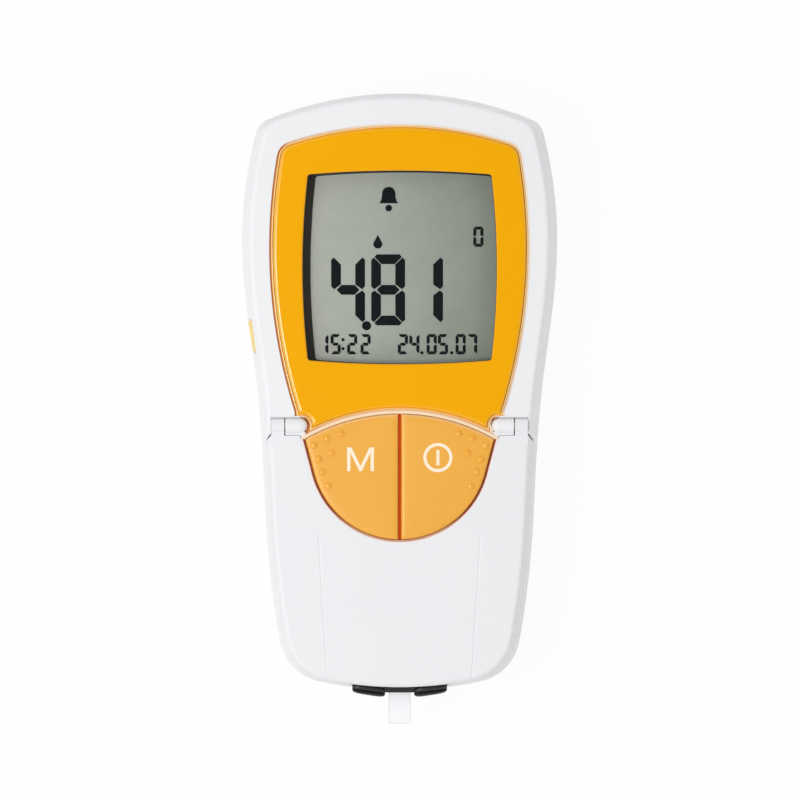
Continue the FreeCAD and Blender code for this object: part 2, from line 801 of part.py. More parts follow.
def front_housing_shape():
    chamber = chamber_plan()
    hollow = front_hollow.common(slab(s.parting_height, ceiling))
    hollow = hollow.cut(prism(grown(chamber, s.wall), deck_under, above))
    shell = front_block.cut(hollow)
    ledge = bezel_prism(s.ledge_margin, ledge_z, seat_z)
    ledge = ledge.cut(prism(chamber, s.parting_height, above))
    hinge_blocks = both_sides(brick(
        (s.hinge_block_inner_x, far_x), (seam_y, -s.hinge_block_rear_y), (s.deck_height, seat_z)))
    hinge_blocks = [front_block.common(part).cut(prism(chamber, s.parting_height, above))
                    for part in hinge_blocks]
    bosses = []
    for x, y in board_screw_places:
        top = ledge_z if y > 0 else deck_under
        bosses.append(column(x, y, board_top_z, top, s.board_boss_radius))
    for x, y in housing_screw_places:
        top = ceiling if y > 0 else deck_under
        bosses.append(column(x, y, s.parting_height, top, s.screw_boss_radius))
    shell = shell.fuse([ledge] + hinge_blocks + [front_block.common(boss) for boss in bosses])
    shell = shell.cut(prism(chamber, s.deck_height, above))

    cuts = [bezel_prism(s.bezel_gap, seat_z, above)]
    cuts.append(window_prism(s.ledge_opening_margin, ledge_z - s.overrun, above))
    trough_z = s.hinge_z - s.trough_depth
    cuts += both_sides(hinge_field(barrel_room, trough_z))
    knuckle_room = Part.makeCylinder(
        barrel_room, s.knuckle_outer_x + s.bezel_gap - s.barrel_outer_x,
        at(s.barrel_outer_x, -s.hinge_y, s.hinge_z), FreeCAD.Vector(1, 0, 0))
    cuts += both_sides(knuckle_room)
    for x, y in stem_places:
        cuts.append(column(x, y, s.parting_height, above, s.button_stem_radius + 2 * s.stem_gap))
    cuts.append(brick(
        (-s.reading_half_width - s.glass_margin - s.glass_gap,
         s.reading_half_width + s.glass_margin + s.glass_gap),
        (-s.reading_y - s.reading_half_length - s.glass_margin - s.glass_gap,
         -s.reading_y + s.reading_half_length + s.glass_margin + s.glass_gap),
        (s.parting_height, above)))
    for x, y in board_screw_places:
        depth = s.board_screw_length - s.board_thickness + s.screw_gap
        cuts.append(column(x, y, board_top_z, board_top_z + depth, s.board_screw_radius + s.screw_gap))
    for x, y in housing_screw_places:
        tip = s.screw_sink + s.screw_head_height + s.screw_length + s.screw_gap
        cuts.append(column(x, y, s.parting_height, tip, s.screw_radius + s.screw_gap))
    cuts.append(brick(
        (-far_x, -s.set_flange_x + s.overrun), (s.set_low - s.set_gap, s.set_high + s.set_gap),
        (s.set_z - s.set_gap, s.set_z + s.set_height + s.set_gap)))
    cuts.append(brick((-s.port_half_width, s.port_half_width), (s.board_top, far_high),
                      (s.port_low, s.port_high)))
    shell = shell.cut(cuts)

    barrel = Part.makeCylinder(
        s.barrel_radius, s.barrel_outer_x - s.barrel_dome_x,
        at(s.barrel_dome_x, -s.hinge_y, s.hinge_z), FreeCAD.Vector(1, 0, 0))
    dome = Part.makeSphere(s.barrel_radius, at(s.barrel_dome_x, -s.hinge_y, s.hinge_z))
    foot = brick((s.barrel_dome_x, s.barrel_outer_x),
                 (-s.hinge_y - s.barrel_radius / 2, -s.hinge_y + s.barrel_radius / 2),
                 (trough_z - s.wall / 2, s.hinge_z))
    pin_hole = Part.makeCylinder(
        s.pin_radius + s.pin_seat_gap, s.barrel_outer_x - s.pin_inner_x,
        at(s.pin_inner_x, -s.hinge_y, s.hinge_z), FreeCAD.Vector(1, 0, 0))
    barrels = both_sides(barrel.fuse([dome, foot]))
    return shell.fuse(barrels).cut(both_sides(pin_hole))


front_housing = node("front_housing", freeform("front_housing", front_housing_shape()))


# Rear housing: drafted shell with the battery bay, the door's pin sockets and screw columns

bay_half_width = 2 * s.cell_pitch + s.bay_side_gap / 2
door_axis_y = s.bay_low + s.door_gap + s.door_thickness / 2
door_axis_z = s.door_recess + s.door_thickness / 2
door_half_width = bay_half_width - s.door_gap


def rear_housing_shape():
    hollow = rear_hollow.common(slab(s.wall, s.parting_height))
    shell = rear_block.cut(hollow)
    bay = brick((-bay_half_width - s.bay_wall, bay_half_width + s.bay_wall),
                (s.bay_low - s.bay_wall, s.bay_high + s.bay_wall), (s.wall / 2, s.bay_ceiling + s.bay_wall))
    columns = [
        rear_block.common(column(x, y, s.wall / 2, s.parting_height, s.screw_boss_radius))
        for x, y in housing_screw_places
    ]
    shell = shell.fuse([bay] + columns)
    cuts = [brick((-bay_half_width, bay_half_width), (s.bay_low, s.bay_high), (-s.overrun, s.bay_ceiling))]
    for x, y in housing_screw_places:
        head_room = s.screw_sink + s.screw_head_height
        cuts.append(column(x, y, -s.overrun, head_room, s.screw_head_radius + s.screw_gap))
        cuts.append(column(x, y, 0, s.parting_height + s.overrun, s.screw_radius + s.screw_gap))
    socket_reach = door_half_width + s.door_pin_length + s.door_gap
    cuts.append(Part.makeCylinder(
        s.door_thickness / 2 + s.door_pin_gap, 2 * socket_reach,
        at(-socket_reach, door_axis_y, door_axis_z), FreeCAD.Vector(1, 0, 0)))
    return shell.cut(cuts)


rear_housing = node("rear_housing", freeform("rear_housing", rear_housing_shape()))


# Bezel: orange frame seated in the front housing, bevelled, with a rabbet for the lens

def face_bezel_shape():
    high = s.front_height + s.bezel_proud
    solid = bezel_prism(0, seat_z, high)
    solid = solid.makeChamfer(s.bezel_bevel, at_height(solid, high))
    solid = solid.cut(window_prism(0, seat_z - s.overrun, above))
    rabbet = window_prism(s.lens_margin + s.lens_gap, seat_z - s.overrun,
                          seat_z + s.lens_thickness + s.lens_gap / 2)
    notches = both_sides(hinge_field(barrel_room, seat_z - s.overrun))
    return solid.cut([rabbet] + notches)


face_bezel = node("face_bezel", freeform("face_bezel", face_bezel_shape()))
display_window = node("display_window", freeform(
    "display_window", window_prism(s.lens_margin, seat_z, seat_z + s.lens_thickness)))


# LCD glass, its dark frame and the two rubber connectors under it

lcd_high = ledge_z - s.lcd_lip
lcd_low = lcd_high - s.lcd_thickness
lcd_panel = new_body("lcd_panel")
pad(lcd_panel, "lcd_glass", oblong(-s.lcd_half_width, s.lcd_half_width, s.lcd_bottom, s.lcd_top),
    lcd_low, lcd_high)
node("lcd_panel", lcd_panel)

frame_inner = (s.lcd_half_width + s.lcd_gap, s.lcd_bottom - s.lcd_gap, s.lcd_top + s.lcd_gap)


def lcd_frame_shape():
    half, low, high = frame_inner
    outer_half = half + s.lcd_frame_wall
    solid = brick((-outer_half, outer_half), (low - s.lcd_frame_wall, high + s.lcd_frame_wall),
                  (board_top_z, ledge_z))
    hollow = brick((-half, half), (low, high), (board_top_z, lcd_high))
    return solid.cut([hollow, window_prism(s.lcd_lip_margin, board_top_z, above)])


node("lcd_frame", freeform("lcd_frame", lcd_frame_shape()))

zebra_low_y = s.lcd_bottom + s.zebra_inset
zebra_high_y = s.lcd_top - s.zebra_inset - s.zebra_width
node("lcd_connectors", group("lcd_connectors", [
    block(name, (-s.zebra_half_length, s.zebra_half_length), (y, y + s.zebra_width),
          (board_top_z, lcd_low))
    for name, y in (("zebra_low", zebra_low_y), ("zebra_high", zebra_high_y))
]))


# Circuit board with a tab for the set switch, its chips, sounder and screws

main_board = new_body("main_board")
pad(main_board, "board_plate", [
    (-s.board_half_width, -s.board_bottom), (s.board_half_width, -s.board_bottom),
    (s.board_half_width, s.board_top), (-s.board_half_width, s.board_top),
    (-s.board_half_width, s.board_tab_high), (-s.board_tab_reach, s.board_tab_high),
    (-s.board_tab_reach, s.board_tab_low), (-s.board_half_width, s.board_tab_low),
], s.board_z, board_top_z)
board_holes = [
    rod(f"board_hole_{index}", s.board_screw_radius + s.screw_gap, (x, y, s.board_z),
        s.board_thickness)
    for index, (x, y) in enumerate(board_screw_places)
]
node("main_board", cut("drilled_board", main_board, group("board_holes", board_holes)))


def chip(name, x, y, length, width, low, high):
    return block(name, (x - length / 2, x + length / 2), (y - width / 2, y + width / 2), (low, high))


node("board_chips", group("board_chips", [
    chip("controller", -s.chips_pitch / 2, -s.chips_y, s.controller_side, s.controller_side,
         s.board_z - s.controller_height, s.board_z),
    chip("memory_chip", s.chips_pitch / 2, -s.chips_y, s.memory_length, s.memory_width,
         s.board_z - s.controller_height, s.board_z),
    chip("crystal", -s.chips_pitch, -s.chips_y - s.chips_pitch, s.crystal_length, s.crystal_width,
         s.board_z - s.crystal_height, s.board_z),
    chip("display_driver", 0, 2 * s.chips_pitch, s.driver_side, s.driver_side,
         board_top_z, board_top_z + s.driver_height),
    rod("capacitor", s.capacitor_radius,
        (s.chips_pitch * 1.5, -s.chips_y, s.board_z - s.capacitor_height), s.capacitor_height),
]))
buzzer_z = s.board_z - s.buzzer_height
node("buzzer", cut(
    "buzzer",
    rod("buzzer_can", s.buzzer_radius, (s.buzzer_x, -s.buzzer_y, buzzer_z), s.buzzer_height),
    rod("buzzer_port", s.buzzer_port_radius, (s.buzzer_x, -s.buzzer_y, buzzer_z),
        s.controller_height)))


def screw(name, x, y, head_low, head_radius, shank_radius, length):
    """Pan head with its shank pointing up."""
    shank_start = head_low + s.screw_head_height
    return fuse(
        name,
        rod(f"{name}_head", head_radius, (x, y, head_low), s.screw_head_height),
        rod(f"{name}_shank", shank_radius, (x, y, shank_start), length))


node("board_screws", group("board_screws", [
    screw(f"board_screw_{index}", x, y, s.board_z - s.screw_head_height, s.screw_head_radius,
          s.board_screw_radius, s.board_screw_length)
    for index, (x, y) in enumerate(board_screw_places)
]))
node("housing_screws", group("housing_screws", [
    screw(f"housing_screw_{index}", x, y, s.screw_sink, s.screw_head_radius, s.screw_radius,
          s.screw_length)
    for index, (x, y) in enumerate(housing_screw_places)
]))


# Two front buttons on silicone domes, in their tray

def button_shape(side):
    plan = button_plan()
    cap = prism(plan, s.button_cap_low, s.button_cap_high)
    inner = s.button_split / 2
    half = brick((inner, far_x), (far_low, far_high), (s.button_cap_low, s.button_cap_high))
    cap = cap.common(half)
    cap = cap.makeChamfer(s.button_bevel, at_height(cap, s.button_cap_high))
    stem = column(s.button_stem_x, -s.button_stem_y, board_top_z + s.dome_height, s.button_cap_low,
                  s.button_stem_radius)
    button = cap.fuse(stem)
    return both_sides(button)[0 if side > 0 else 1]


node("memory_button", freeform("memory_button", button_shape(-1)))
node("power_button", freeform("power_button", button_shape(1)))


def button_frame_shape():
    plan = button_plan()
    solid = prism(grown(plan, tray_grow), s.deck_height, s.tray_high)
    well = prism(grown(plan, s.button_gap), s.tray_floor_high, above)
    under = prism(grown(plan, -s.tray_wall), s.deck_height - s.overrun, s.tray_floor_low)
    holes = [column(x, y, s.deck_height, above, s.button_stem_radius + s.stem_gap)
             for x, y in stem_places]
    return solid.cut([well, under] + holes)


node("button_frame", freeform("button_frame", button_frame_shape()))

for name, (x, y) in zip(("memory_dome", "power_dome"), stem_places):
    skin = cone(f"{name}_skin", s.dome_base_radius, s.dome_top_radius, (x, y, board_top_z),
                s.dome_height)
    inside = cone(f"{name}_inside", s.dome_base_radius - s.dome_skin, s.dome_top_radius - s.dome_skin,
                  (x, y, board_top_z), s.dome_height - s.dome_skin)
    node(name, cut(name, skin, inside))


# Set button in the left side wall, with the switch that it presses

def set_button_shape():
    high = s.set_z + s.set_height
    cap = brick((-s.set_reach, -s.set_flange_x + s.set_flange_depth / 2), (s.set_low, s.set_high),
                (s.set_z, high))
    outer = [edge for edge in cap.Edges if edge.BoundBox.XMax < -s.set_reach + edge_tolerance]
    cap = cap.makeFillet(s.set_round, outer)
    margin = s.set_flange_margin
    flange = brick((-s.set_flange_x, -s.set_flange_x + s.set_flange_depth),
                   (s.set_low - margin, s.set_high + margin), (s.set_z, high + margin))
    nose = brick((-s.set_flange_x, -s.set_nose_reach),
                 (s.set_low + s.set_nose_inset, s.set_high - s.set_nose_inset),
                 (board_top_z + s.set_gap, high))
    return cap.fuse([flange, nose])


node("set_button", freeform("set_button", set_button_shape()))
switch_middle = (s.set_low + s.set_high) / 2
node("set_switch", block(
    "set_switch", (-s.switch_reach, -s.switch_reach + s.switch_depth),
    (switch_middle - s.switch_length / 2, switch_middle + s.switch_length / 2),
    (board_top_z, board_top_z + s.switch_height)))


# Measuring flap: lid of the measuring chamber, with two knuckles that run on the hinge pins

wing_top = s.deck_height + s.wing_lift + s.wing_height
flap_low = s.deck_height + s.flap_deck_gap


def measuring_flap_shape():
    plan = grown(chamber_plan(), -s.flap_gap)
    island = grown(button_plan(), tray_grow + s.flap_gap)
    lid = front_block.common(prism(plan, flap_low, above))
    lid = lid.cut(prism(island, s.deck_height, above))
    shoulder = max(island.Vertexes, key=lambda vertex: vertex.X)
    lid = lid.cut(brick((-shoulder.X, shoulder.X), (shoulder.Y, 0), (s.deck_height, above)))
    hollow = front_hollow.common(prism(grown(plan, -s.wall), s.deck_height, ceiling))
    hollow = hollow.cut(prism(grown(island, s.wall), s.parting_height, above))
    lid = lid.cut(hollow)
    cut_half = s.wing_outer_x + s.wing_gap
    lid = lid.cut(brick((-cut_half, cut_half), (far_low, -s.wing_high + s.wing_gap),
                        (s.deck_height - s.overrun, wing_top + s.wing_gap)))
    lid = lid.cut(both_sides(crease_groove()))

    knuckle = Part.makeCylinder(
        s.barrel_radius, s.knuckle_length, at(s.knuckle_inner_x, -s.hinge_y, s.hinge_z),
        FreeCAD.Vector(1, 0, 0))
    web = brick((s.knuckle_inner_x, s.knuckle_outer_x), (-s.hinge_y - s.web_reach, -s.hinge_y),
                (s.front_height - s.web_thickness, s.front_height))
    knuckles = both_sides(knuckle.fuse(web))
    bore = Part.makeCylinder(
        s.pin_radius + s.pin_run_gap, s.knuckle_length, at(s.knuckle_inner_x, -s.hinge_y, s.hinge_z),
        FreeCAD.Vector(1, 0, 0))
    return lid.fuse(knuckles).cut(both_sides(bore))


def crease_groove():
    """Shallow groove down the right half of the flap, beside its middle panel."""
    low = s.front_height - s.crease_depth
    top_y = -s.button_bottom_y + s.wall
    corners = [
        at(s.crease_top_x, top_y, low), at(s.crease_top_x + s.crease_width, top_y, low),
        at(s.crease_bottom_x + s.crease_width, far_low, low), at(s.crease_bottom_x, far_low, low),
    ]
    return Part.Face(Part.makePolygon(corners + corners[:1])).extrude(at(0, 0, s.overrun))


node("measuring_flap", freeform("measuring_flap", measuring_flap_shape()))
pin_length = s.knuckle_outer_x - s.pin_inner_x
node("hinge_pins", group("hinge_pins", [
    rod("right_pin", s.pin_radius, (s.pin_inner_x, -s.hinge_y, s.hinge_z), pin_length, "X"),
    rod("left_pin", s.pin_radius, (-s.knuckle_outer_x, -s.hinge_y, s.hinge_z), pin_length, "X"),
]))

seal_low = s.deck_height + s.guide_floor + s.guide_rail + s.seal_gap
light_seal = new_body("light_seal")
pad(light_seal, "foam_pad", oblong(
    -s.seal_half_width, s.seal_half_width, -s.reading_y - s.reading_half_length - s.seal_margin,
    -s.reading_y + s.reading_half_length + s.seal_margin), seal_low, ceiling)
pocket(light_seal, "foam_opening", oblong(
    -s.reading_half_width, s.reading_half_width, -s.reading_y - s.reading_half_length,
    -s.reading_y + s.reading_half_length), seal_low, ceiling)
node("light_seal", light_seal)
node("flap_magnet", rod("flap_magnet", s.magnet_radius,
                        (s.magnet_x, -s.magnet_y, ceiling - s.magnet_height), s.magnet_height))
node("flap_sensor", chip("flap_sensor", s.magnet_x, -s.magnet_y, s.sensor_length, s.sensor_width,
                         deck_under - s.sensor_height, deck_under))


# Strip guide with its two wings, and the test strip that slides in it

def strip_guide_shape():
    floor_high = s.deck_height + s.guide_floor
    rail_high = floor_high + s.guide_rail
    plate = brick((-s.guide_half_width, s.guide_half_width), (-s.bridge_high, -s.guide_top),
                  (s.deck_height, rail_high))
    wing = brick((s.wing_inner_x, s.wing_outer_x), (-s.wing_low, -s.wing_high),
                 (s.deck_height + s.wing_lift, wing_top))
    lengthwise = [
        edge for edge in wing.Edges
        if edge.BoundBox.XLength > s.wing_round and edge.BoundBox.YMin < -s.wing_high - s.wing_round
    ]
    wing = wing.makeFillet(s.wing_round, lengthwise)
    bridge_low_z = floor_high + s.strip_gap * 2 + s.strip_thickness
    bridge = brick((-s.wing_inner_x, s.wing_inner_x), (-s.bridge_low, -s.bridge_high),
                   (bridge_low_z, bridge_low_z + s.bridge_thickness))
    sill = brick((-s.wing_inner_x, s.wing_inner_x), (-s.bridge_low, -s.bridge_high),
                 (s.deck_height, floor_high))
    channel_half = s.strip_half_width + s.strip_side_gap
    channel = brick((-channel_half, channel_half), (far_low, -s.strip_inner_end + s.strip_side_gap),
                    (floor_high, bridge_low_z))
    open_top = brick((-channel_half, channel_half),
                     (-s.bridge_high, -s.strip_inner_end + s.strip_side_gap),
                     (floor_high, above))
    aperture = brick((-s.aperture_half_width, s.aperture_half_width),
                     (-s.reading_y - s.reading_half_length, -s.reading_y + s.reading_half_length),
                     (s.deck_height - s.overrun, above))
    ends = both_sides(wing)
    lug = brick((s.wing_inner_x, s.wing_outer_x), (-s.bridge_low, -s.bridge_high),
                (s.deck_height + s.wing_lift, floor_high))
    return plate.fuse(ends + both_sides(lug) + [bridge, sill]).cut([channel, open_top, aperture])


node("strip_guide", freeform("strip_guide", strip_guide_shape()))
strip_low = s.deck_height + s.guide_floor + s.strip_gap
test_strip = new_body("test_strip")
pad(test_strip, "strip_card", oblong(
    -s.strip_half_width, s.strip_half_width, -s.strip_end, -s.strip_inner_end),
    strip_low, strip_low + s.strip_thickness)
node("test_strip", test_strip)


# Reading head under the deck: block with a light well, window, board, light sources, receiver

head_low_y = -s.reading_y - s.head_half_length
head_high_y = -s.reading_y + s.head_half_length
head_low_z = deck_under - s.head_depth
well = oblong(-s.reading_half_width, s.reading_half_width,
              -s.reading_y - s.reading_half_length, -s.reading_y + s.reading_half_length)
optics_block = new_body("optics_block")
pad(optics_block, "head_block", oblong(-s.head_half_width, s.head_half_width, head_low_y, head_high_y),
    head_low_z, deck_under)
pocket(optics_block, "light_well", well, head_low_z, deck_under)
node("optics_block", optics_block)

glass_half = s.reading_half_width + s.glass_margin
glass_half_length = s.reading_half_length + s.glass_margin
optics_window = new_body("optics_window")
pad(optics_window, "window_glass", oblong(
    -glass_half, glass_half, -s.reading_y - glass_half_length, -s.reading_y + glass_half_length),
    deck_under, deck_under + s.glass_thickness)
node("optics_window", optics_window)

optics_board = new_body("optics_board")
pad(optics_board, "head_board", oblong(-s.head_half_width, s.head_half_width, head_low_y, head_high_y),
    head_low_z - s.head_board_thickness, head_low_z)
node("optics_board", optics_board)

led_tube_length = s.led_height - s.led_radius
leds = []
for index in (-1, 0, 1):
    place = (index * s.led_spacing, -s.reading_y - s.led_offset, head_low_z)
    dome = doc.addObject("Part::Sphere", f"led_dome_{index + 2}")
    tie(dome, "Radius", s.led_radius)
    put(dome, place[0], place[1], head_low_z + led_tube_length)
    tube = rod(f"led_tube_{index + 2}", s.led_radius, place, led_tube_length)
    leds.append(fuse(f"led_{index + 2}", tube, dome))
node("measuring_leds", group("measuring_leds", leds))
node("photodiode", chip("photodiode", 0, -s.reading_y + s.led_offset, s.diode_side,
                        s.diode_side, head_low_z, head_low_z + s.diode_height))

# Flat ribbon from under the reading head's board up to the main board
ribbon_low = head_low_z - s.head_board_thickness
ribbon_turn = -s.board_bottom - s.ribbon_lap / 2
optics_ribbon = new_body("optics_ribbon")
pad(optics_ribbon, "ribbon_strip", [
    (head_high_y - s.ribbon_lap, ribbon_low),
    (head_high_y - s.ribbon_lap, ribbon_low - s.ribbon_thickness),
    (ribbon_turn, ribbon_low - s.ribbon_thickness),
    (ribbon_turn, s.board_z - s.ribbon_thickness),
    (s.ribbon_lap - s.board_bottom, s.board_z - s.ribbon_thickness),
    (s.ribbon_lap - s.board_bottom, s.board_z),
    (ribbon_turn - s.ribbon_thickness, s.board_z),
    (ribbon_turn - s.ribbon_thickness, ribbon_low),
], -s.ribbon_half_width, s.ribbon_half_width, "YZ_Plane")
node("optics_ribbon", optics_ribbon)


# Battery cells side by side, turned end for end, with their contacts

cells = []
springs = []
plates = []
for index in range(4):
    x = (index - 1.5) * s.cell_pitch
    up = index % 2 == 0
    foot_depth, head_depth = (s.spring_depth, s.plate_depth) if up else (s.plate_depth, s.spring_depth)
    can_length = s.cell_length - s.cell_nub_height
    low = s.bay_low + foot_depth
    can_low = low if up else low + s.cell_nub_height
    nub_low = low + can_length if up else low
    cells.append(fuse(
        f"cell_{index + 1}",
        rod(f"can_{index + 1}", s.cell_radius, (x, can_low, s.cell_z), can_length, "Y"),
        rod(f"nub_{index + 1}", s.cell_nub_radius, (x, nub_low, s.cell_z), s.cell_nub_height, "Y")))
    plus_y = (s.bay_high - s.contact_thickness, s.bay_high) if up else (
        s.bay_low, s.bay_low + s.contact_thickness)
    minus_y = (s.bay_low, s.bay_low + s.contact_thickness) if up else (
        s.bay_high - s.contact_thickness, s.bay_high)
    across = (x - s.contact_side / 2, x + s.contact_side / 2)
    upright = (s.cell_z - s.contact_side / 2, s.cell_z + s.contact_side / 2)
    plates.append(block(f"plus_plate_{index + 1}", across, plus_y, upright))
    coil_length = s.spring_depth - s.contact_thickness
    coil_start = minus_y[1] if up else minus_y[0]
    coil = cone(f"minus_coil_{index + 1}", s.spring_base_radius, s.spring_tip_radius,
                (x, coil_start, s.cell_z), coil_length, "Y", back=not up)
    springs.append(fuse(
        f"minus_contact_{index + 1}",
        block(f"minus_plate_{index + 1}", across, minus_y, upright), coil))
node("battery_cells", group("battery_cells", cells))
node("battery_springs", group("battery_springs", springs))
node("battery_plates", group("battery_plates", plates))


# Rear battery door: plate with a round hinge edge, two pins and a finger notch

def battery_door_shape():
    radius = s.door_thickness / 2
    plate = brick((-door_half_width, door_half_width), (door_axis_y, s.bay_high - s.door_gap),
                  (s.door_recess, s.door_recess + s.door_thickness))
    edge = Part.makeCylinder(radius, 2 * door_half_width,
                             at(-door_half_width, door_axis_y, door_axis_z), FreeCAD.Vector(1, 0, 0))
    pin_reach = door_half_width + s.door_pin_length
    pins = Part.makeCylinder(radius, 2 * pin_reach,
                             at(-pin_reach, door_axis_y, door_axis_z), FreeCAD.Vector(1, 0, 0))
    notch = column(0, s.bay_high - s.finger_notch_inset - s.finger_notch_radius, -s.overrun,
                   s.door_recess + s.finger_notch_depth, s.finger_notch_radius)
    return plate.fuse([edge, pins]).cut(notch)


node("battery_door", freeform("battery_door", battery_door_shape()))


# Data port in the top end: dark window flush with the wall, and its light source on the board

def ir_window_shape():
    gap = s.port_gap
    pane = brick((gap - s.port_half_width, s.port_half_width - gap), (s.board_top, far_high),
                 (s.port_low + gap, s.port_high - gap))
    return front_block.cut(front_hollow).common(pane)


node("ir_window", freeform("ir_window", ir_window_shape()))
led_z = board_top_z + s.port_led_height / 2
base_y = (s.board_top - s.port_led_base, s.board_top)
node("ir_led", fuse(
    "ir_led",
    block("port_base", (-s.port_led_radius, s.port_led_radius), base_y,
          (board_top_z, board_top_z + s.port_led_height)),
    rod("port_lamp", s.port_led_radius, (0, s.board_top, led_z),
        s.port_led_reach - s.board_top, "Y")))

doc.recompute()
for feature in doc.Objects:
    if "Invalid" in feature.State or "Error" in feature.State:
        raise RuntimeError(f"{feature.Label} failed: {feature.State}")
for label, feature in nodes.items():
    if feature.Shape.isNull() or not feature.Shape.isValid():
        raise RuntimeError(f"{label} has no valid shape")

os.makedirs("parts", exist_ok=True)
for label, feature in nodes.items():
    feature.Shape.exportStep(f"parts/{label}.step")
    print(label, len(feature.Shape.Solids), round(feature.Shape.Volume, 1))
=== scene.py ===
import math

import bpy
import numpy as np
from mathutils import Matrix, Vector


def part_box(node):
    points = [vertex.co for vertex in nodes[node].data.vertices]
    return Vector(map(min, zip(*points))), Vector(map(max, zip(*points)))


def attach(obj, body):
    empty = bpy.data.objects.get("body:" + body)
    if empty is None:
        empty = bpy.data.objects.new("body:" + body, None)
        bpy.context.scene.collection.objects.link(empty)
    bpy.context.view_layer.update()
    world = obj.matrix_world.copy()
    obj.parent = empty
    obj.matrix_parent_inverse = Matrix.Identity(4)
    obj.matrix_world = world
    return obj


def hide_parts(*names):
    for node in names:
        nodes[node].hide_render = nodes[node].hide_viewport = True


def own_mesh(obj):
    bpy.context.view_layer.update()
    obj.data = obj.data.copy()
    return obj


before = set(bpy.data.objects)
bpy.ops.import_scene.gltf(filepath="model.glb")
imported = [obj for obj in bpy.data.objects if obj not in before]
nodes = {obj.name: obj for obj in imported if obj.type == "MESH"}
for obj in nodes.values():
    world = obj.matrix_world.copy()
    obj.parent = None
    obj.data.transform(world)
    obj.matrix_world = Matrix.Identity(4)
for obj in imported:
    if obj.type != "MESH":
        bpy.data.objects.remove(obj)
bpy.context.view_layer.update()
MM = 0.001


# Rear housing: the lower shell that carries the cells, injection-moulded in white ABS.
# Its skin is spark-eroded to a very fine matt grain; four screws hold it to the front housing.

def linear(red, green, blue):
    """An sRGB colour of 0 to 255 as the linear RGBA that a shader takes: the sRGB curve undone."""
    share = np.array([red, green, blue]) / 255
    return (*np.where(share <= 0.04045, share / 12.92, ((share + 0.055) / 1.055) ** 2.4), 1.0)


def put(tree, kind, inputs, out=0, **settings):
    """A shader node with its own settings. Each input, by label or number, takes a socket or a plain value.
    Returns one of its outputs."""
    made = tree.nodes.new("ShaderNode" + kind)
    for label, value in settings.items():
        setattr(made, label, value)
    for label, term in inputs.items():
        if isinstance(term, bpy.types.NodeSocket):
            tree.links.new(term, made.inputs[label])
        else:
            made.inputs[label].default_value = term
    return made.outputs[out]


def place(tree):
    """Object coordinates, in metres."""
    return put(tree, "TexCoord", {}, "Object")


def noise(tree, scale, detail):
    """Noise over Object coordinates; its scale is features per metre."""
    return put(tree, "TexNoise", {"Vector": place(tree), "Scale": scale, "Detail": detail}, "Fac")


def sums(tree, operation, *terms):
    """A Math node; each term is a socket or a number."""
    return put(tree, "Math", dict(enumerate(terms)), operation=operation)


def blend(tree, share, first, second):
    """A mix of two colours by a share."""
    return put(tree, "Mix", {0: share, 6: first, 7: second}, 2, data_type="RGBA")


def dented(tree, height, depth):
    """The normal of a skin whose height map has a real depth in metres."""
    return put(tree, "Bump", {"Height": height, "Distance": depth, "Strength": 1.0}, "Normal")


FLOAT, COLOUR = "NodeSocketFloat", "NodeSocketColor"
CLOUD_SCALE = 45.0
skin = bpy.data.node_groups.new("moulded_skin", "ShaderNodeTree")
for label, kind in (("Colour", COLOUR), ("Shade", COLOUR), ("Cloud", FLOAT), ("Grain", FLOAT),
                    ("Roughness", FLOAT), ("Spread", FLOAT)):
    skin.interface.new_socket(label, in_out="INPUT", socket_type=kind)
for label, kind in (("Colour", COLOUR), ("Roughness", FLOAT), ("Height", FLOAT)):
    skin.interface.new_socket(label, in_out="OUTPUT", socket_type=kind)
given = skin.nodes.new("NodeGroupInput").outputs
wanted = skin.nodes.new("NodeGroupOutput").inputs
skin_grain = noise(skin, given["Grain"], 2.0)
skin_cloud = sums(skin, "MULTIPLY", noise(skin, CLOUD_SCALE, 4.0), given["Cloud"])
skin_spread = sums(skin, "MULTIPLY", sums(skin, "SUBTRACT", skin_grain, 0.5), given["Spread"])
skin.links.new(blend(skin, skin_cloud, given["Colour"], given["Shade"]), wanted["Colour"])
skin.links.new(sums(skin, "ADD", given["Roughness"], skin_spread), wanted["Roughness"])
skin.links.new(skin_grain, wanted["Height"])


def sole(tree, kind):
    """The one node of a kind in a node tree."""
    return next(n for n in tree.nodes if n.type == kind)


def shader_sockets(tree):
    """The inputs of a material's Principled shader."""
    return sole(tree, "BSDF_PRINCIPLED").inputs


def bare_finish(name, **uniform):
    """A material whose uniform sockets are set by their labels, and its node tree."""
    made = bpy.data.materials.new(name)
    made.use_nodes = True
    for label, value in uniform.items():
        shader_sockets(made.node_tree)[label.replace("_", " ")].default_value = value
    return made, made.node_tree


def feed(tree, **varying):
    """Links sockets of a material's shader, by their labels, to what varies over the surface."""
    for label, term in varying.items():
        tree.links.new(term, shader_sockets(tree)[label.replace("_", " ")])


def moulded(name, colour, shade, roughness, grain=3200.0, depth=4e-6, cloud=0.5, spread=0.12, **uniform):
    """A moulded plastic: two close tones in clouds, and a fine grain that roughens and dents the skin."""
    made, tree = bare_finish(name, **uniform)
    group = tree.nodes.new("ShaderNodeGroup")
    group.node_tree = skin
    for slot, value in zip(group.inputs, (linear(*colour), linear(*shade), cloud, grain, roughness, spread)):
        slot.default_value = value
    feed(tree, Base_Color=group.outputs["Colour"], Roughness=group.outputs["Roughness"],
         Normal=dented(tree, group.outputs["Height"], depth))
    return made


def dress(finish, *names):
    """Gives CAD nodes a finish in place of the one they were packed with."""
    for name in names:
        nodes[name].data.materials.clear()
        nodes[name].data.materials.append(finish)


housing_white = moulded("housing_white", (240, 241, 243), (235, 236, 239), 0.5, Specular_IOR_Level=0.4)
dress(housing_white, "rear_housing")

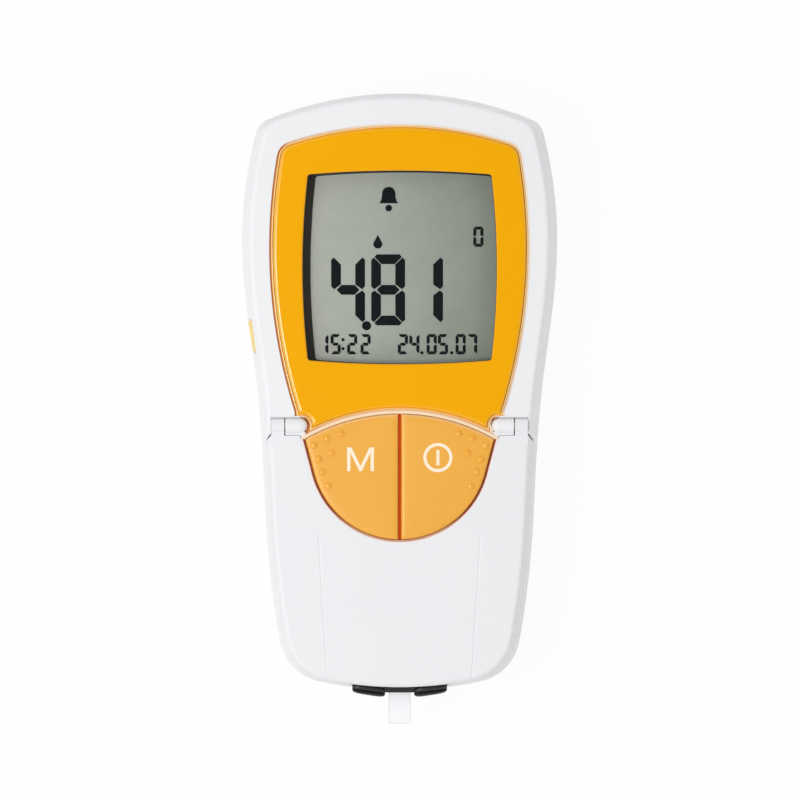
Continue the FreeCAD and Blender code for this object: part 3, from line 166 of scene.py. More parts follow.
# Battery door: a plate of the same white ABS on two moulded hinge stubs, with a finger notch.
# It swings out of the rear housing about its lower edge; ribs in the notch give the thumb a hold.

door_white = moulded("door_white", (238, 239, 241), (231, 232, 235), 0.38, grain=2600.0, depth=6e-6)
dress(door_white, "battery_door")


def stand(name, data):
    """A new object in the scene, at the origin."""
    made = bpy.data.objects.new(name, data)
    bpy.context.scene.collection.objects.link(made)
    return made


def piece(name, points, faces, finish, body, slot, crease=35.0):
    """A mesh object at the origin from an (n, 3) array in millimetres and lists of face corners. Faces that meet
    at less than the crease angle are shaded smooth; it rides on a body. Its slot is not used."""
    mesh = bpy.data.meshes.new(name)
    mesh.from_pydata(np.asarray(points) * MM, [], faces)
    mesh.validate()
    mesh.shade_smooth()
    mesh.set_sharp_from_angle(angle=math.radians(crease))
    mesh.materials.append(finish)
    made = stand(name, mesh)
    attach(made, body)
    return made


def wrapped_rows(rows, ends):
    """Quads over stacked rings of points, each joined to the next. With ends "ring" the last joins the first, with
    "lid" a face closes the last ring, with "both" the first too, and with "open" neither."""
    ring, count = len(rows[0]), len(rows)
    near = np.arange(ring)
    far = np.roll(near, -1)
    faces = []
    for k in range(count if ends == "ring" else count - 1):
        low, high = k * ring, (k + 1) % count * ring
        faces += np.column_stack([near + low, far + low, far + high, near + high]).tolist()
    if ends in ("lid", "both"):
        faces.append((near + (count - 1) * ring).tolist())
    if ends == "both":
        faces.append(near[::-1].tolist())
    return np.vstack(rows), faces


def joined(parts):
    """Several meshes as one: their points stacked, and the corners of each counted on from the last."""
    starts = np.cumsum([0] + [len(points) for points, faces in parts])
    faces = [[corner + start for corner in face] for (_, sides), start in zip(parts, starts) for face in sides]
    return np.vstack([points for points, _ in parts]), faces


def swelling(stations, power=4.0, least=0.02):
    """Stations from -1 to 1, closer together at the ends, and a superellipse over them: it is 1 in the middle and
    falls to almost nothing at both ends."""
    share = -np.cos(np.linspace(0, np.pi, stations))[:, None]
    return share, np.maximum((1 - np.abs(share) ** power) ** (1 / power), least)


NOTCH_X, NOTCH_Y, NOTCH_REACH, NOTCH_FLOOR = 0.0, 43.0, 7.8, 1.02
GRIP_PITCH, GRIP_WIDTH, GRIP_RISE, GRIP_COUNT = 2.6, 1.3, 0.6, 5


def grip_rib(offset, stations=25, sides=11):
    """A rib in a round notch that faces down: half an ellipse carried along X, as long as the circle leaves room
    for at this offset from its middle, that swells from its ends."""
    share, swell = swelling(stations)
    turn = np.linspace(np.pi, 0, sides)
    x = np.broadcast_to(NOTCH_X + math.sqrt(NOTCH_REACH ** 2 - offset ** 2) * share, (stations, sides))
    y = NOTCH_Y + offset + GRIP_WIDTH / 2 * swell * np.cos(turn)
    z = NOTCH_FLOOR - GRIP_RISE * swell * np.sin(turn)
    return wrapped_rows(list(np.stack([x, y, z], -1)), "both")


ribs = [grip_rib(offset) for offset in GRIP_PITCH * (np.arange(GRIP_COUNT) - (GRIP_COUNT - 1) / 2)]
piece("door_ribs", *joined(ribs), door_white, "rear_door", "housing_white")

# Cells: four AAA cells, steel cans in a plain printed sleeve.
# They lie side by side, turned end for end in pairs.

def along_axis(tree, label):
    """One Object coordinate, X, Y or Z, in metres."""
    return put(tree, "SeparateXYZ", {0: place(tree)}, label)


SCRATCHES, SCRATCH_GLOSS, SCRATCH_DEPTH = 900.0, 0.2, 3e-6


def banded(name, tones, edges, roughness, metal):
    """Rings of colour along Y on a can: a constant colour ramp over Object Y, with fine scratches."""
    made, tree = bare_finish(name, Metallic=metal)
    low, high = edges[0], edges[-1]
    span = put(tree, "MapRange", {"Value": along_axis(tree, "Y"), "From Min": low * MM, "From Max": high * MM})
    bands = put(tree, "ValToRGB", {0: span})
    ramp = bands.node.color_ramp
    ramp.interpolation = "CONSTANT"
    while len(ramp.elements) < len(tones):
        ramp.elements.new(0.5)
    for stop, edge, tone in zip(ramp.elements, edges, tones):
        stop.position = (edge - low) / (high - low)
        stop.color = linear(*tone)
    scratch = noise(tree, SCRATCHES, 4.0)
    feed(tree, Base_Color=bands, Roughness=sums(tree, "MULTIPLY_ADD", scratch, SCRATCH_GLOSS, roughness),
         Normal=dented(tree, scratch, SCRATCH_DEPTH))
    return made


CELL_EDGES = (8.0, 10.2, 19.0, 47.0, 55.8, 58.0)
CELL_TONES = ((190, 192, 194), (52, 56, 60), (196, 150, 60), (52, 56, 60), (190, 192, 194))
dress(banded("cell_sleeve", CELL_TONES, CELL_EDGES, 0.25, 0.55), "battery_cells")

# Contacts: nickel-plated spring steel.
# The plus ends meet flat leaves, the minus ends a conical coil.

STREAK_GLOSS, STREAK_DEPTH = 0.18, 2e-6


def plated(name, colour, roughness, streak=700.0):
    """Plated steel: bright metal whose gloss varies in fine streaks."""
    made, tree = bare_finish(name, Base_Color=linear(*colour), Metallic=1.0)
    streaks = noise(tree, streak, 5.0)
    feed(tree, Roughness=sums(tree, "MULTIPLY_ADD", streaks, STREAK_GLOSS, roughness),
         Normal=dented(tree, streaks, STREAK_DEPTH))
    return made


dress(plated("contact_steel", (205, 204, 198), 0.16), "battery_plates", "battery_springs", "hinge_pins",
      "flap_magnet")

# Main board: glass-epoxy laminate under green solder resist, with the controller, memory and driver
# soldered to it. Four small screws fix it to posts under the front housing.

TRACKS, TRACK_WIDTH, TRACK_DEPTH, PATCHES, PATCH_EDGE = 260.0, 0.06, 3e-5, 500.0, 0.47


def resist_board(name, resist, track):
    """Solder resist over copper: a brick grid of tracks shows in patches as slightly raised, paler green lines."""
    made, tree = bare_finish(name, Roughness=0.3)
    black, white = (0, 0, 0, 1), (1, 1, 1, 1)
    runs = put(tree, "TexBrick", {"Vector": place(tree), "Scale": TRACKS, "Mortar Size": TRACK_WIDTH,
                                  "Color1": black, "Color2": black, "Mortar": white}, "Color")
    lines = sums(tree, "MULTIPLY", runs, sums(tree, "GREATER_THAN", noise(tree, PATCHES, 3.0), PATCH_EDGE))
    feed(tree, Base_Color=blend(tree, lines, linear(*resist), linear(*track)),
         Normal=dented(tree, lines, TRACK_DEPTH))
    return made


dress(resist_board("board_green", (22, 84, 52), (58, 128, 78)), "main_board", "optics_board")
dress(moulded("chip_black", (32, 33, 36), (44, 44, 48), 0.55, grain=5200.0, depth=8e-6), "board_chips",
      "photodiode", "flap_sensor", "set_switch")
dress(moulded("buzzer_black", (26, 26, 28), (36, 36, 38), 0.42, grain=2400.0), "buzzer")
screw_steel = plated("screw_steel", (168, 168, 166), 0.26, 1500.0)
dress(screw_steel, "board_screws")

# Reading head: a black carrier under the chamber's deck with two light sources and a receiver.
# A clear pane closes it, and a polyimide ribbon leads to the main board.

dress(moulded("carrier_black", (24, 24, 26), (34, 34, 36), 0.6, grain=2000.0, depth=1e-5), "optics_block")
FLOWS, FLOW_GLOSS, FLOW_COVER = 120.0, 0.03, 0.02


def clear_pane(name, colour, roughness, cover):
    """Clear plastic that light passes straight through: a low alpha with faint flow lines in its gloss."""
    made, tree = bare_finish(name, Base_Color=linear(*colour), IOR=1.49, Specular_IOR_Level=0.6)
    flow = noise(tree, FLOWS, 2.0)
    feed(tree, Roughness=sums(tree, "MULTIPLY_ADD", flow, FLOW_GLOSS, roughness),
         Alpha=sums(tree, "MULTIPLY_ADD", flow, FLOW_COVER, cover))
    return made


dress(clear_pane("head_pane_clear", (210, 225, 235), 0.05, 0.22), "optics_window")
dress(moulded("lamp_clear", (205, 222, 210), (180, 205, 215), 0.1, grain=600.0, Transmission_Weight=0.5),
      "measuring_leds", "ir_led")
dress(moulded("ribbon_amber", (176, 104, 30), (140, 78, 20), 0.3, grain=1500.0, cloud=0.9), "optics_ribbon")

# Display: a reflective LCD in a dark frame, pressed by two striped rubber connectors to the board.
# The glass is grey-green; the driven segments stand out near black.

dress(moulded("frame_dark", (34, 30, 28), (44, 40, 38), 0.5), "lcd_frame")


def striped(name, dark, pale, pitch):
    """Layers of conducting and plain rubber: sharp bands along X at the layers' pitch."""
    made, tree = bare_finish(name, Roughness=0.7)
    wave = sums(tree, "SINE", sums(tree, "MULTIPLY", along_axis(tree, "X"), 2 * math.pi / (pitch * MM)))
    mask = sums(tree, "GREATER_THAN", wave, 0.0)
    feed(tree, Base_Color=blend(tree, mask, linear(*dark), linear(*pale)), Normal=dented(tree, mask, 1e-5))
    return made


dress(striped("zebra_rubber", (30, 30, 32), (196, 190, 178), 0.5), "lcd_connectors")
BLOTCHES, BLOTCH_DRIFT = 150.0, 0.35
SPECKLES, SPECKLE_SHARE, SPECKLE_GLOSS, SPECKLE_DEPTH = 2600.0, 0.5, 0.2, 3e-6


def reflector(name, near, far, spot, half, roughness):
    """The LCD's rough reflector: blotchy in tone and darker from left to right, a drift that is painted shade of the
    light from the left, and a fine darker speckle.
    """
    made, tree = bare_finish(name, Specular_IOR_Level=0.3)
    across = put(tree, "MapRange", {"Value": along_axis(tree, "X"), "From Min": -half * MM, "From Max": half * MM})
    blotch = sums(tree, "SUBTRACT", noise(tree, BLOTCHES, 3.0), 0.5)
    tone = blend(tree, sums(tree, "MULTIPLY_ADD", blotch, BLOTCH_DRIFT, across), linear(*near), linear(*far))
    speckle = noise(tree, SPECKLES, 2.0)
    feed(tree, Base_Color=blend(tree, sums(tree, "MULTIPLY", speckle, SPECKLE_SHARE), tone, linear(*spot)),
         Roughness=sums(tree, "MULTIPLY_ADD", speckle, SPECKLE_GLOSS, roughness),
         Normal=dented(tree, speckle, SPECKLE_DEPTH))
    return made


# The lighter left tone and the darker right tone are painted shade across the glass.
dress(reflector("lcd_grey", (206, 212, 202), (156, 165, 152), (120, 128, 118), 22.0, 0.35), "lcd_panel")


def lifted(outline, height):
    """An outline set at a height."""
    return np.column_stack([outline, np.full(len(outline), height)])


def raised(outlines, low, high):
    """Flat shapes raised to plates: each outline, run anticlockwise, gives a wall of quads and a lid."""
    return joined([wrapped_rows([lifted(outline, low), lifted(outline, high)], "lid") for outline in outlines])


SEGMENTS_ON = {"0": "abcdef", "1": "bc", "2": "abged", "4": "fgbc", "5": "afgcd", "7": "abc", "8": "abcdefg"}
CORNER_CUT, WAIST_NICK = 0.55, 0.3


def digit(figure, left, bottom, width, height, bar, gap):
    """A seven-segment figure: its bars are mitred at the corners, which are cut off, pointed at the waist and held
    apart by a gap. One upright, one level bar and the waist are drawn; the others mirror them."""
    wide, high, half, cut, nick = width / 2, height / 2, bar / 2, CORNER_CUT * bar, WAIST_NICK * bar
    side, top, mitre = wide - bar, high - bar, high - cut / 2
    upright = np.array([(-wide, high - cut), (-wide, nick + gap), (nick - wide, gap), (-side, half + gap),
                        (-side, top - gap), (cut / 2 - wide, mitre - gap)])
    level = np.array([(gap - side, top), (side - gap, top), (wide - cut / 2 - gap, mitre), (wide - cut, high),
                      (cut - wide, high), (cut / 2 + gap - wide, mitre)])
    waist = np.array([(half + gap - wide, 0), (gap - side, -half), (side - gap, -half), (wide - half - gap, 0),
                      (side - gap, half), (gap - side, half)])
    bars = {"f": upright, "b": upright[::-1] * (-1, 1), "e": upright[::-1] * (1, -1), "c": -upright,
            "a": level, "d": level[::-1] * (1, -1), "g": waist}
    return [bars[name] + (left + wide, bottom + high) for name in SEGMENTS_ON[figure]]


def rays(turns):
    """Unit vectors at given turns, as an (n, 2) array."""
    return np.column_stack([np.cos(turns), np.sin(turns)])


def disc(x, y, radius, count=28):
    """A circle as an outline."""
    return radius * rays(np.linspace(0, 2 * np.pi, count, endpoint=False)) + (x, y)


BELL_CROWN, BELL_SIDE, DROP_TIP = (0.36, 0.38), ((0.38, 0.34), (0.43, 0.13), (0.5, 0.05), (0.5, 0.0)), 2.1


def bell(x, y, width, height, count=12):
    """A bell's outline: a round crown, straight sides and a flared lip, mirrored about its middle."""
    crown = rays(np.linspace(np.pi / 2, 0, count)) * BELL_CROWN + (0, 1 - BELL_CROWN[1])
    half = np.vstack([crown, BELL_SIDE]) * (width, height)
    return np.vstack([half[::-1], half[1:] * (-1, 1)]) + (x, y)


def drop(x, y, radius, count=24):
    """A liquid drop: three quarters of a circle, drawn out to a point at the top."""
    return np.vstack([rays(np.linspace(-1.25 * np.pi, 0.25 * np.pi, count)), [(0, DROP_TIP)]]) * radius + (x, y)


# Figures, their left edges, the height of their line, and the width, height, bar and gap of each.
BIG, SMALL = (8.7, 18.25, 2.5, 0.14), (2.6, 5.2, 0.8, 0.05)
LINES = (("481", (-17.6, -7.3, 2.45), 17.4, BIG),
         ("1522240507", (-20.9, -17.75, -13.5, -10.05, -0.45, 2.5, 6.95, 9.85, 14.4, 17.35), 9.95, SMALL),
         ("0", (18.95,), 37.6, SMALL))
BELL, CLAPPER, DROP = (-2.8, 48.8, 4.7, 4.2), (-2.8, 47.55, 0.85), (-5.6, 38.3, 1.15)
DOTS = ((-8.5, 17.3, 1.18), (5.75, 10.35, 0.42), (13.4, 10.35, 0.42), (-14.55, 13.7, 0.42), (-14.55, 11.4, 0.42))
SEGMENT_RISE = 0.05
shown = [bar for figures, lefts, low, size in LINES for figure, left in zip(figures, lefts)
         for bar in digit(figure, left, low, *size)]
shown += [disc(*dot) for dot in (*DOTS, CLAPPER)] + [bell(*BELL), drop(*DROP)]
segment_ink = moulded("segment_ink", (20, 25, 27), (26, 30, 32), 0.8, grain=900.0, depth=1e-6,
                      Specular_IOR_Level=0.08)
lcd_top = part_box("lcd_panel")[1].z / MM
piece("lcd_segments", *raised(shown, lcd_top, lcd_top + SEGMENT_RISE), segment_ink, "housing", "lcd_grey")

# Front housing: the upper shell with the display field, the deck of the measuring chamber and the inner
# hinge barrels, moulded in the same white ABS as the rear. A grey band at the joint of the two shells is painted
# shade of that joint.

dress(housing_white, "front_housing")


def wedge(first, second):
    """The signed area that plane vectors span with others, over whole arrays."""
    return first[..., 0] * second[..., 1] - first[..., 1] * second[..., 0]


def boxes(parts):
    """Closed prisms from (outline, low, high), each with a wall, a lid and a floor; outlines may run either way."""
    blocks = []
    for outline, low, high in parts:
        way = 1 if wedge(outline, np.roll(outline, -1, 0)).sum() > 0 else -1
        blocks.append(wrapped_rows([lifted(outline[::way], low), lifted(outline[::way], high)], "both"))
    return joined(blocks)


def slab(x0, x1, y0, y1):
    """A rectangle as an outline."""
    return np.array([(x0, y0), (x1, y0), (x1, y1), (x0, y1)])


SILL_LOW = 25.4
SILL_NOSE = np.array([(24.0, -10.4), (24.6, -9.8), (25.2, -10.1), (25.52, -10.86), (25.52, -11.55), (24.9, -11.6)])
SILLS = ((slab(25.6, 33.28, -6.33, -5.97), 27.9), (slab(33.06, 33.28, -10.5, -6.33), 27.9),
         (slab(24.8, 29.38, -10.86, -10.0), 27.6), (SILL_NOSE, 27.63))
sills = [(plan * (side, 1), SILL_LOW, high) for plan, high in SILLS for side in (1, -1)]
piece("hinge_sills", *boxes(sills), housing_white, "housing", "housing_white")


def corners(node):
    """The corner points of a CAD node in millimetres, as an (n, 3) array."""
    mesh = nodes[node].data
    flat = np.empty(3 * len(mesh.vertices), np.float32)
    mesh.vertices.foreach_get("co", flat)
    return flat.reshape(-1, 3) / MM


TINY, SLACK = 1e-9, 1e-6


def farthest(start, end, turns):
    """The last point at which rays from the origin, at given turns, meet straight strokes from start to end. How far
    a ray goes to a stroke, and at what share of it, are ratios of the areas that ray, stroke and start span."""
    ray, stroke = rays(turns)[:, None], end - start
    spread = wedge(ray, stroke)
    spread = np.where(np.abs(spread) < TINY, TINY, spread)
    reach, share = wedge(start, stroke) / spread, wedge(start, ray) / spread
    met = (share > -SLACK) & (share < 1 + SLACK) & (reach > 0)
    return np.where(met, reach, 0).max(1)[:, None] * rays(turns)


def cut_outline(node, height, turns, out):
    """The outline of a CAD node cut level at a height, moved out a little: each triangle that the level crosses gives
    a stroke between two of its sides, and the outline is where rays from the middle meet the last of them."""
    mesh = nodes[node].data
    mesh.calc_loop_triangles()
    order = np.empty(3 * len(mesh.loop_triangles), np.int32)
    mesh.loop_triangles.foreach_get("vertices", order)
    shapes = corners(node)[order.reshape(-1, 3)]
    above = shapes[:, :, 2] > height
    met = above.any(1) & ~above.all(1)
    shapes, above = shapes[met], above[met]
    lone = np.where(above.sum(1) == 1, above.argmax(1), above.argmin(1))
    count = np.arange(len(shapes))
    tip = shapes[count, lone]
    sides = [shapes[count, (lone + step) % 3] - tip for step in (1, 2)]
    start, end = ((tip + side * (height - tip[:, 2:]) / side[:, 2:])[:, :2] for side in sides)
    return farthest(start, end, turns) + out * rays(turns)


SEAM_LOW, SEAM_HIGH, SEAM_PROUD, SEAM_DEEP = 12.5, 12.7, 0.02, -0.1
seam_turns = np.linspace(-np.pi, np.pi, 1440, endpoint=False)
seam_rows = [lifted(cut_outline("rear_housing", height, seam_turns, out), height) for out, height in (
    (SEAM_PROUD, SEAM_LOW), (SEAM_PROUD, SEAM_HIGH), (SEAM_DEEP, SEAM_HIGH), (SEAM_DEEP, SEAM_LOW))]
# The band's grey is painted shade where the two shells meet.
seam_shade_grey = moulded("seam_shade_grey", (112, 113, 116), (100, 101, 104), 0.8, grain=1200.0)
piece("housing_seam", *wrapped_rows(seam_rows, "ring"), seam_shade_grey, "housing", "housing_white")

# Display bezel: one glossy orange moulding, clear-lacquered, snapped into the display field.
# Its outer edge is rounded above a thin lip, and the lens sits in a rebate behind the window opening.

def level_points(node, height, band=0.01, digits=3):
    """The corners of a CAD node at one height, as an (n, 2) array without repeats."""
    points = corners(node)
    return np.unique(np.round(points[np.abs(points[:, 2] - height) < band, :2], digits), axis=0)


def turns_of(points, centre):
    """The turns of points round a centre."""
    return np.arctan2(*(points - centre).T[::-1])


def turns_through(points, centre, count):
    """Even turns round a centre, with the turn of every corner of an outline among them."""
    even = np.linspace(-np.pi, np.pi, count, endpoint=False)
    return np.unique(np.concatenate([even, turns_of(points, centre)]))


def spots_round(points, centre):
    """Points as seen from a centre, in the order of their turns round it."""
    return (points - centre)[np.argsort(turns_of(points, centre))]


def at_turns(points, centre, turns):
    """An outline that every ray from the centre meets once, read off at given turns: each ray meets the straight
    side between the corners on either hand of it."""
    spots = spots_round(points, centre)
    return centre + farthest(spots, np.roll(spots, -1, 0), turns)


SPACING, SHORT = 0.08, 0.1


def parallel(outline, centre, turns, distance):
    """The curve at a distance inside an outline (outside if negative), read along rays from the centre: every point
    of the outline carries a disc of that radius, and the curve is the first (or last) that a ray meets of them.
    A distance too short for the spacing of the discs is a share of the shortest that is not."""
    if abs(distance) < SHORT:
        return outline + (parallel(outline, centre, turns, SHORT) - outline) * (distance / SHORT)
    closed = np.vstack([outline, outline[:1]])
    way = np.concatenate([[0], np.cumsum(np.linalg.norm(np.diff(closed, axis=0), axis=1))])
    dense = np.linspace(0, way[-1], int(way[-1] / SPACING), endpoint=False)
    spots = np.column_stack([np.interp(dense, way, closed[:, 0]), np.interp(dense, way, closed[:, 1])]) - centre
    ray = rays(turns)
    ahead, aside = ray @ spots.T, wedge(ray[:, None], spots)
    chord = np.sqrt(np.maximum(distance ** 2 - aside ** 2, 0))
    met = (np.abs(aside) < abs(distance)) & (ahead > 0)
    reach = (np.where(met, ahead - chord, np.inf).min(1) if distance > 0
             else np.where(met, ahead + chord, -np.inf).max(1))
    return centre + reach[:, None] * ray


def moulded_with_painted_light(name, colour, shade, rim, roughness, groove_shade=(112, 72, 24), **look):
    """The moulded skin in two more tones that the point attribute rim mixes in: above 0 a paler one, a painted
    highlight, and below 0 a deep one, painted shade as in a groove."""
    made = moulded(name, colour, shade, roughness, **look)
    tree = made.node_tree
    base = shader_sockets(tree)["Base Color"].links[0].from_socket
    weight = put(tree, "Attribute", {}, "Fac", attribute_name="rim")
    pale = blend(tree, weight, base, linear(*rim))
    feed(tree, Base_Color=blend(tree, sums(tree, "MULTIPLY", weight, -1.0), pale, linear(*groove_shade)))
    return made


def weigh(made, weights):
    """Stores the rim weight of each point of a piece: how much painted highlight, or below 0 painted shade, it takes.
    """
    made.data.attributes.new("rim", "FLOAT", "POINT").data.foreach_set("value", np.ravel(weights).astype(np.float32))


def height_span(node):
    """The lowest and highest level of a CAD node, in millimetres."""
    return (corner.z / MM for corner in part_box(node))


bezel_low, bezel_high = height_span("face_bezel")
lens_low, lens_high = height_span("display_window")
BEZEL_CENTRE = np.array([0.0, 32.0])
FLANGE, FLANGE_SINK, FLANGE_TUCK = 0.27, 1.0, 0.05
LIP_IN, LIP_EDGE, LIP_SINK, LIP_RISE = 0.14, 0.36, 0.95, 0.42
GROOVE, GROOVE_DEPTH, BEZEL_EDGE, BEZEL_DROP, BROW = 0.22, 0.12, 1.0, 0.5, 0.08
WINDOW_EDGE, LENS_GAP, LENS_ROOM = 0.35, 0.08, 0.4
foot_points = level_points("face_bezel", bezel_low)
lens_points = level_points("display_window", lens_low)
brow_points = level_points("face_bezel", bezel_high)
lens_reach = np.abs(lens_points - BEZEL_CENTRE).max(0) + LENS_ROOM
outer_points = foot_points[(np.abs(foot_points - BEZEL_CENTRE) > lens_reach).any(1)]
opening_points = brow_points[(np.abs(brow_points - BEZEL_CENTRE) < lens_reach).all(1)]
turns = turns_through(outer_points, BEZEL_CENTRE, 720)
outer = at_turns(outer_points, BEZEL_CENTRE, turns)
opening = at_turns(opening_points, BEZEL_CENTRE, turns)
rebate = parallel(at_turns(lens_points, BEZEL_CENTRE, turns), BEZEL_CENTRE, turns, -LENS_GAP)


def carried(outline, profile):
    """A profile of (distance in, height) carried round an outline of the bezel: a row for each of its points."""
    return [lifted(parallel(outline, BEZEL_CENTRE, turns, inset), height) for inset, height in profile]


swing = np.linspace(0, np.pi / 2, 7)
ease, fall = 1 - np.cos(swing), 1 - np.sin(swing)
lip_low = bezel_high - LIP_SINK
groove_low = lip_low + LIP_RISE - GROOVE_DEPTH
groove_in = LIP_IN + LIP_EDGE + GROOVE
edge_profile = [(LIP_IN, bezel_low), (LIP_IN, lip_low)]
edge_profile += zip(LIP_IN + LIP_EDGE * ease[1:], lip_low + LIP_RISE * (1 - fall[1:]))
crest = len(edge_profile)
edge_profile += [(LIP_IN + LIP_EDGE, groove_low), (groove_in, groove_low)]
edge_profile += zip(groove_in + BEZEL_EDGE * ease, bezel_high - BEZEL_DROP * fall)
edge_profile += [(groove_in + BEZEL_EDGE + BROW, bezel_high)]
window_profile = [(-WINDOW_EDGE - BROW, bezel_high)]
window_profile += zip(WINDOW_EDGE * (ease - 1), bezel_high - WINDOW_EDGE * ease)
bezel_rows = carried(outer, edge_profile) + carried(opening, window_profile)
bezel_rows += [lifted(opening, lens_high + LENS_GAP), lifted(rebate, lens_high + LENS_GAP), lifted(rebate, bezel_low)]
bezel_orange = moulded_with_painted_light("bezel_orange", (250, 177, 0), (246, 169, 0), (255, 226, 170), 0.2, grain=1400.0,
                          depth=1e-6, spread=0.04, Specular_IOR_Level=0.25, Coat_Weight=0.45, Coat_Roughness=0.05)
bezel = piece("bezel_moulding", *wrapped_rows(bezel_rows, "ring"), bezel_orange, "housing", "bezel_orange")
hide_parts("face_bezel")
# The flange fills the gap round the bezel: its brown-orange is painted shade of that gap, and its paler tint along
# the top, right and bottom a painted highlight.
flange_rows = carried(outer, ((LIP_IN + FLANGE_TUCK, bezel_low), (-FLANGE, bezel_low),
                              (-FLANGE, bezel_high - FLANGE_SINK), (LIP_IN + FLANGE_TUCK, bezel_high - FLANGE_SINK)))
flange_shade_and_highlight = moulded_with_painted_light("flange_shade_and_highlight", (196, 112, 40), (186, 102, 32), (255, 242, 222), 0.3, grain=1400.0,
                           depth=1e-6)
flange = piece("bezel_flange", *wrapped_rows(flange_rows, "ring"), flange_shade_and_highlight, "housing", "bezel_orange")

# The lip is pale, a painted highlight, but less so along the bottom; the groove is deep on the sides, painted shade;
# the edge above it is pale on the left, a painted highlight.
LIP_HIGHLIGHT, LIP_DULL, GROOVE_SHADE, EDGE_HIGHLIGHT, FLANGE_HIGHLIGHT = (0.1, 0.9), 0.45, 0.65, 0.22, 0.6
BOTTOM_FROM, BOTTOM_OVER = 0.8, 0.15
along = np.roll(outer, -1, 0) - np.roll(outer, 1, 0)
along /= np.linalg.norm(along, axis=1)[:, None]
bottom = np.clip((along[:, 0] - BOTTOM_FROM) / BOTTOM_OVER, 0, 1)
painted_light = np.zeros((len(bezel_rows), len(turns)))
painted_light[2:crest] = np.linspace(*LIP_HIGHLIGHT, crest - 2)[:, None] * (1 - LIP_DULL * bottom)
painted_light[crest:crest + 2] = -GROOVE_SHADE * np.abs(along[:, 1])
painted_light[crest + 2:crest + 2 + len(swing)] = np.linspace(EDGE_HIGHLIGHT, 0, len(swing))[:, None] * np.clip(-along[:, 1], 0, 1)
weigh(bezel, painted_light)
weigh(flange, np.tile(np.clip(along[:, 1] - along[:, 0], 0, 1) + FLANGE_HIGHLIGHT * bottom, len(flange_rows)))

# Lens and gasket: a clear acrylic pane over the display, and a soft black gasket between it and the glass.
# The gasket is widest on the left and wider at the top than at the right and bottom: painted shadow that the
# opening's edge casts in the light from the upper left.

dress(clear_pane("lens_clear", (48, 50, 50), 0.04, 0.03), "display_window")
GASKET_LEFT, GASKET_RIGHT, GASKET_TOP, GASKET_LOW, GASKET_RISE = 2.1, 0.12, 0.5, 0.15, 0.02
low_corner, high_corner = opening.min(0), opening.max(0)
inner_low = low_corner + (GASKET_LEFT, GASKET_LOW)
inner_high = high_corner - (GASKET_RIGHT, GASKET_TOP)
inner = inner_low + (opening - low_corner) * (inner_high - inner_low) / (high_corner - low_corner)
gasket_rows = [lifted(opening, lens_low - GASKET_RISE), lifted(inner, lcd_top + GASKET_RISE),
               lifted(opening, lcd_top + GASKET_RISE)]
gasket_shadow_black = moulded("gasket_shadow_black", (34, 27, 24), (42, 36, 32), 0.7, grain=1800.0, depth=1e-5)
piece("lcd_gasket", *wrapped_rows(gasket_rows, "ring"), gasket_shadow_black, "housing", "dark_plastic")

# Button tray and return domes: an orange tray round both buttons, deeper in tone than they are,
# and a hollow silicone dome under each stem, which buckles when the button is pressed and lifts it again.

dress(moulded("tray_orange", (222, 112, 30), (206, 92, 20), 0.4), "button_frame")
dome_silicone = moulded("dome_silicone", (206, 204, 198), (190, 188, 184), 0.6, grain=1200.0, Subsurface_Weight=0.2)
DOME_TOP_SHARE, DOME_ROOF_SHARE, DOME_HOLLOW_SHARE, DOME_ROOF, DOME_FOOT = 0.55, 0.4, 0.85, 0.6, 0.15
BUTTON_TRAVEL, DOME_SLACK = 0.8, 0.04


def turned(x, y, profile, count):
    """Rings of points round an upright axis, one for each (radius, height) of a profile."""
    return [lifted(disc(x, y, radius, count), height) for radius, height in profile]


def return_dome(node):
    """A dome: a profile of radii and heights turned about the stem's axis, up the hollow's wall on the inside and
    over a rounded skirt on the outside."""
    low, high = (np.array(corner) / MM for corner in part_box(node))
    x, y = (low[:2] + high[:2]) / 2
    radius, height = (high[0] - low[0]) / 2, high[2] - low[2] - DOME_SLACK / 2
    bend = np.linspace(0, np.pi / 2, 8)
    skirt = radius * (DOME_TOP_SHARE + (1 - DOME_TOP_SHARE) * (1 - np.sin(bend)))
    rise = DOME_FOOT + (height - DOME_FOOT) * (1 - np.cos(bend))
    profile = [(radius * DOME_ROOF_SHARE, height - DOME_ROOF), (radius * DOME_HOLLOW_SHARE, 0.0), (radius, 0.0)]
    points, faces = wrapped_rows(turned(x, y, [*profile, *zip(skirt, rise)], 40), "both")
    made = piece(node + "_cup", points + (0, 0, low[2]), faces, dome_silicone, "housing", "dome_silicone")
    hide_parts(node)
    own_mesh(made)


return_dome("memory_dome")
return_dome("power_dome")

# Memory and power buttons: two halves of one round key in soft orange plastic, with a rounded rim
# that is paler along its top edge as a painted highlight, rows of grip bumps and a printed mark on each.

SHORT_SIDE, EDGE_ON = 0.02, 1e-3


def inset_outline(points, centre, turns, distance):
    """A convex outline pulled in by a distance: along each ray, the nearest of its side lines, all shifted in."""
    spots = spots_round(points, centre)
    side = np.roll(spots, -1, 0) - spots
    length = np.linalg.norm(side, axis=1)[:, None]
    kept = length[:, 0] > SHORT_SIDE
    out = np.column_stack([side[:, 1], -side[:, 0]])[kept] / length[kept]
    reach = (out * spots[kept]).sum(1) - distance
    facing = rays(turns) @ out.T
    nearest = np.where(facing > EDGE_ON, reach / np.maximum(facing, EDGE_ON), np.inf).min(1)
    return centre + nearest[:, None] * rays(turns)


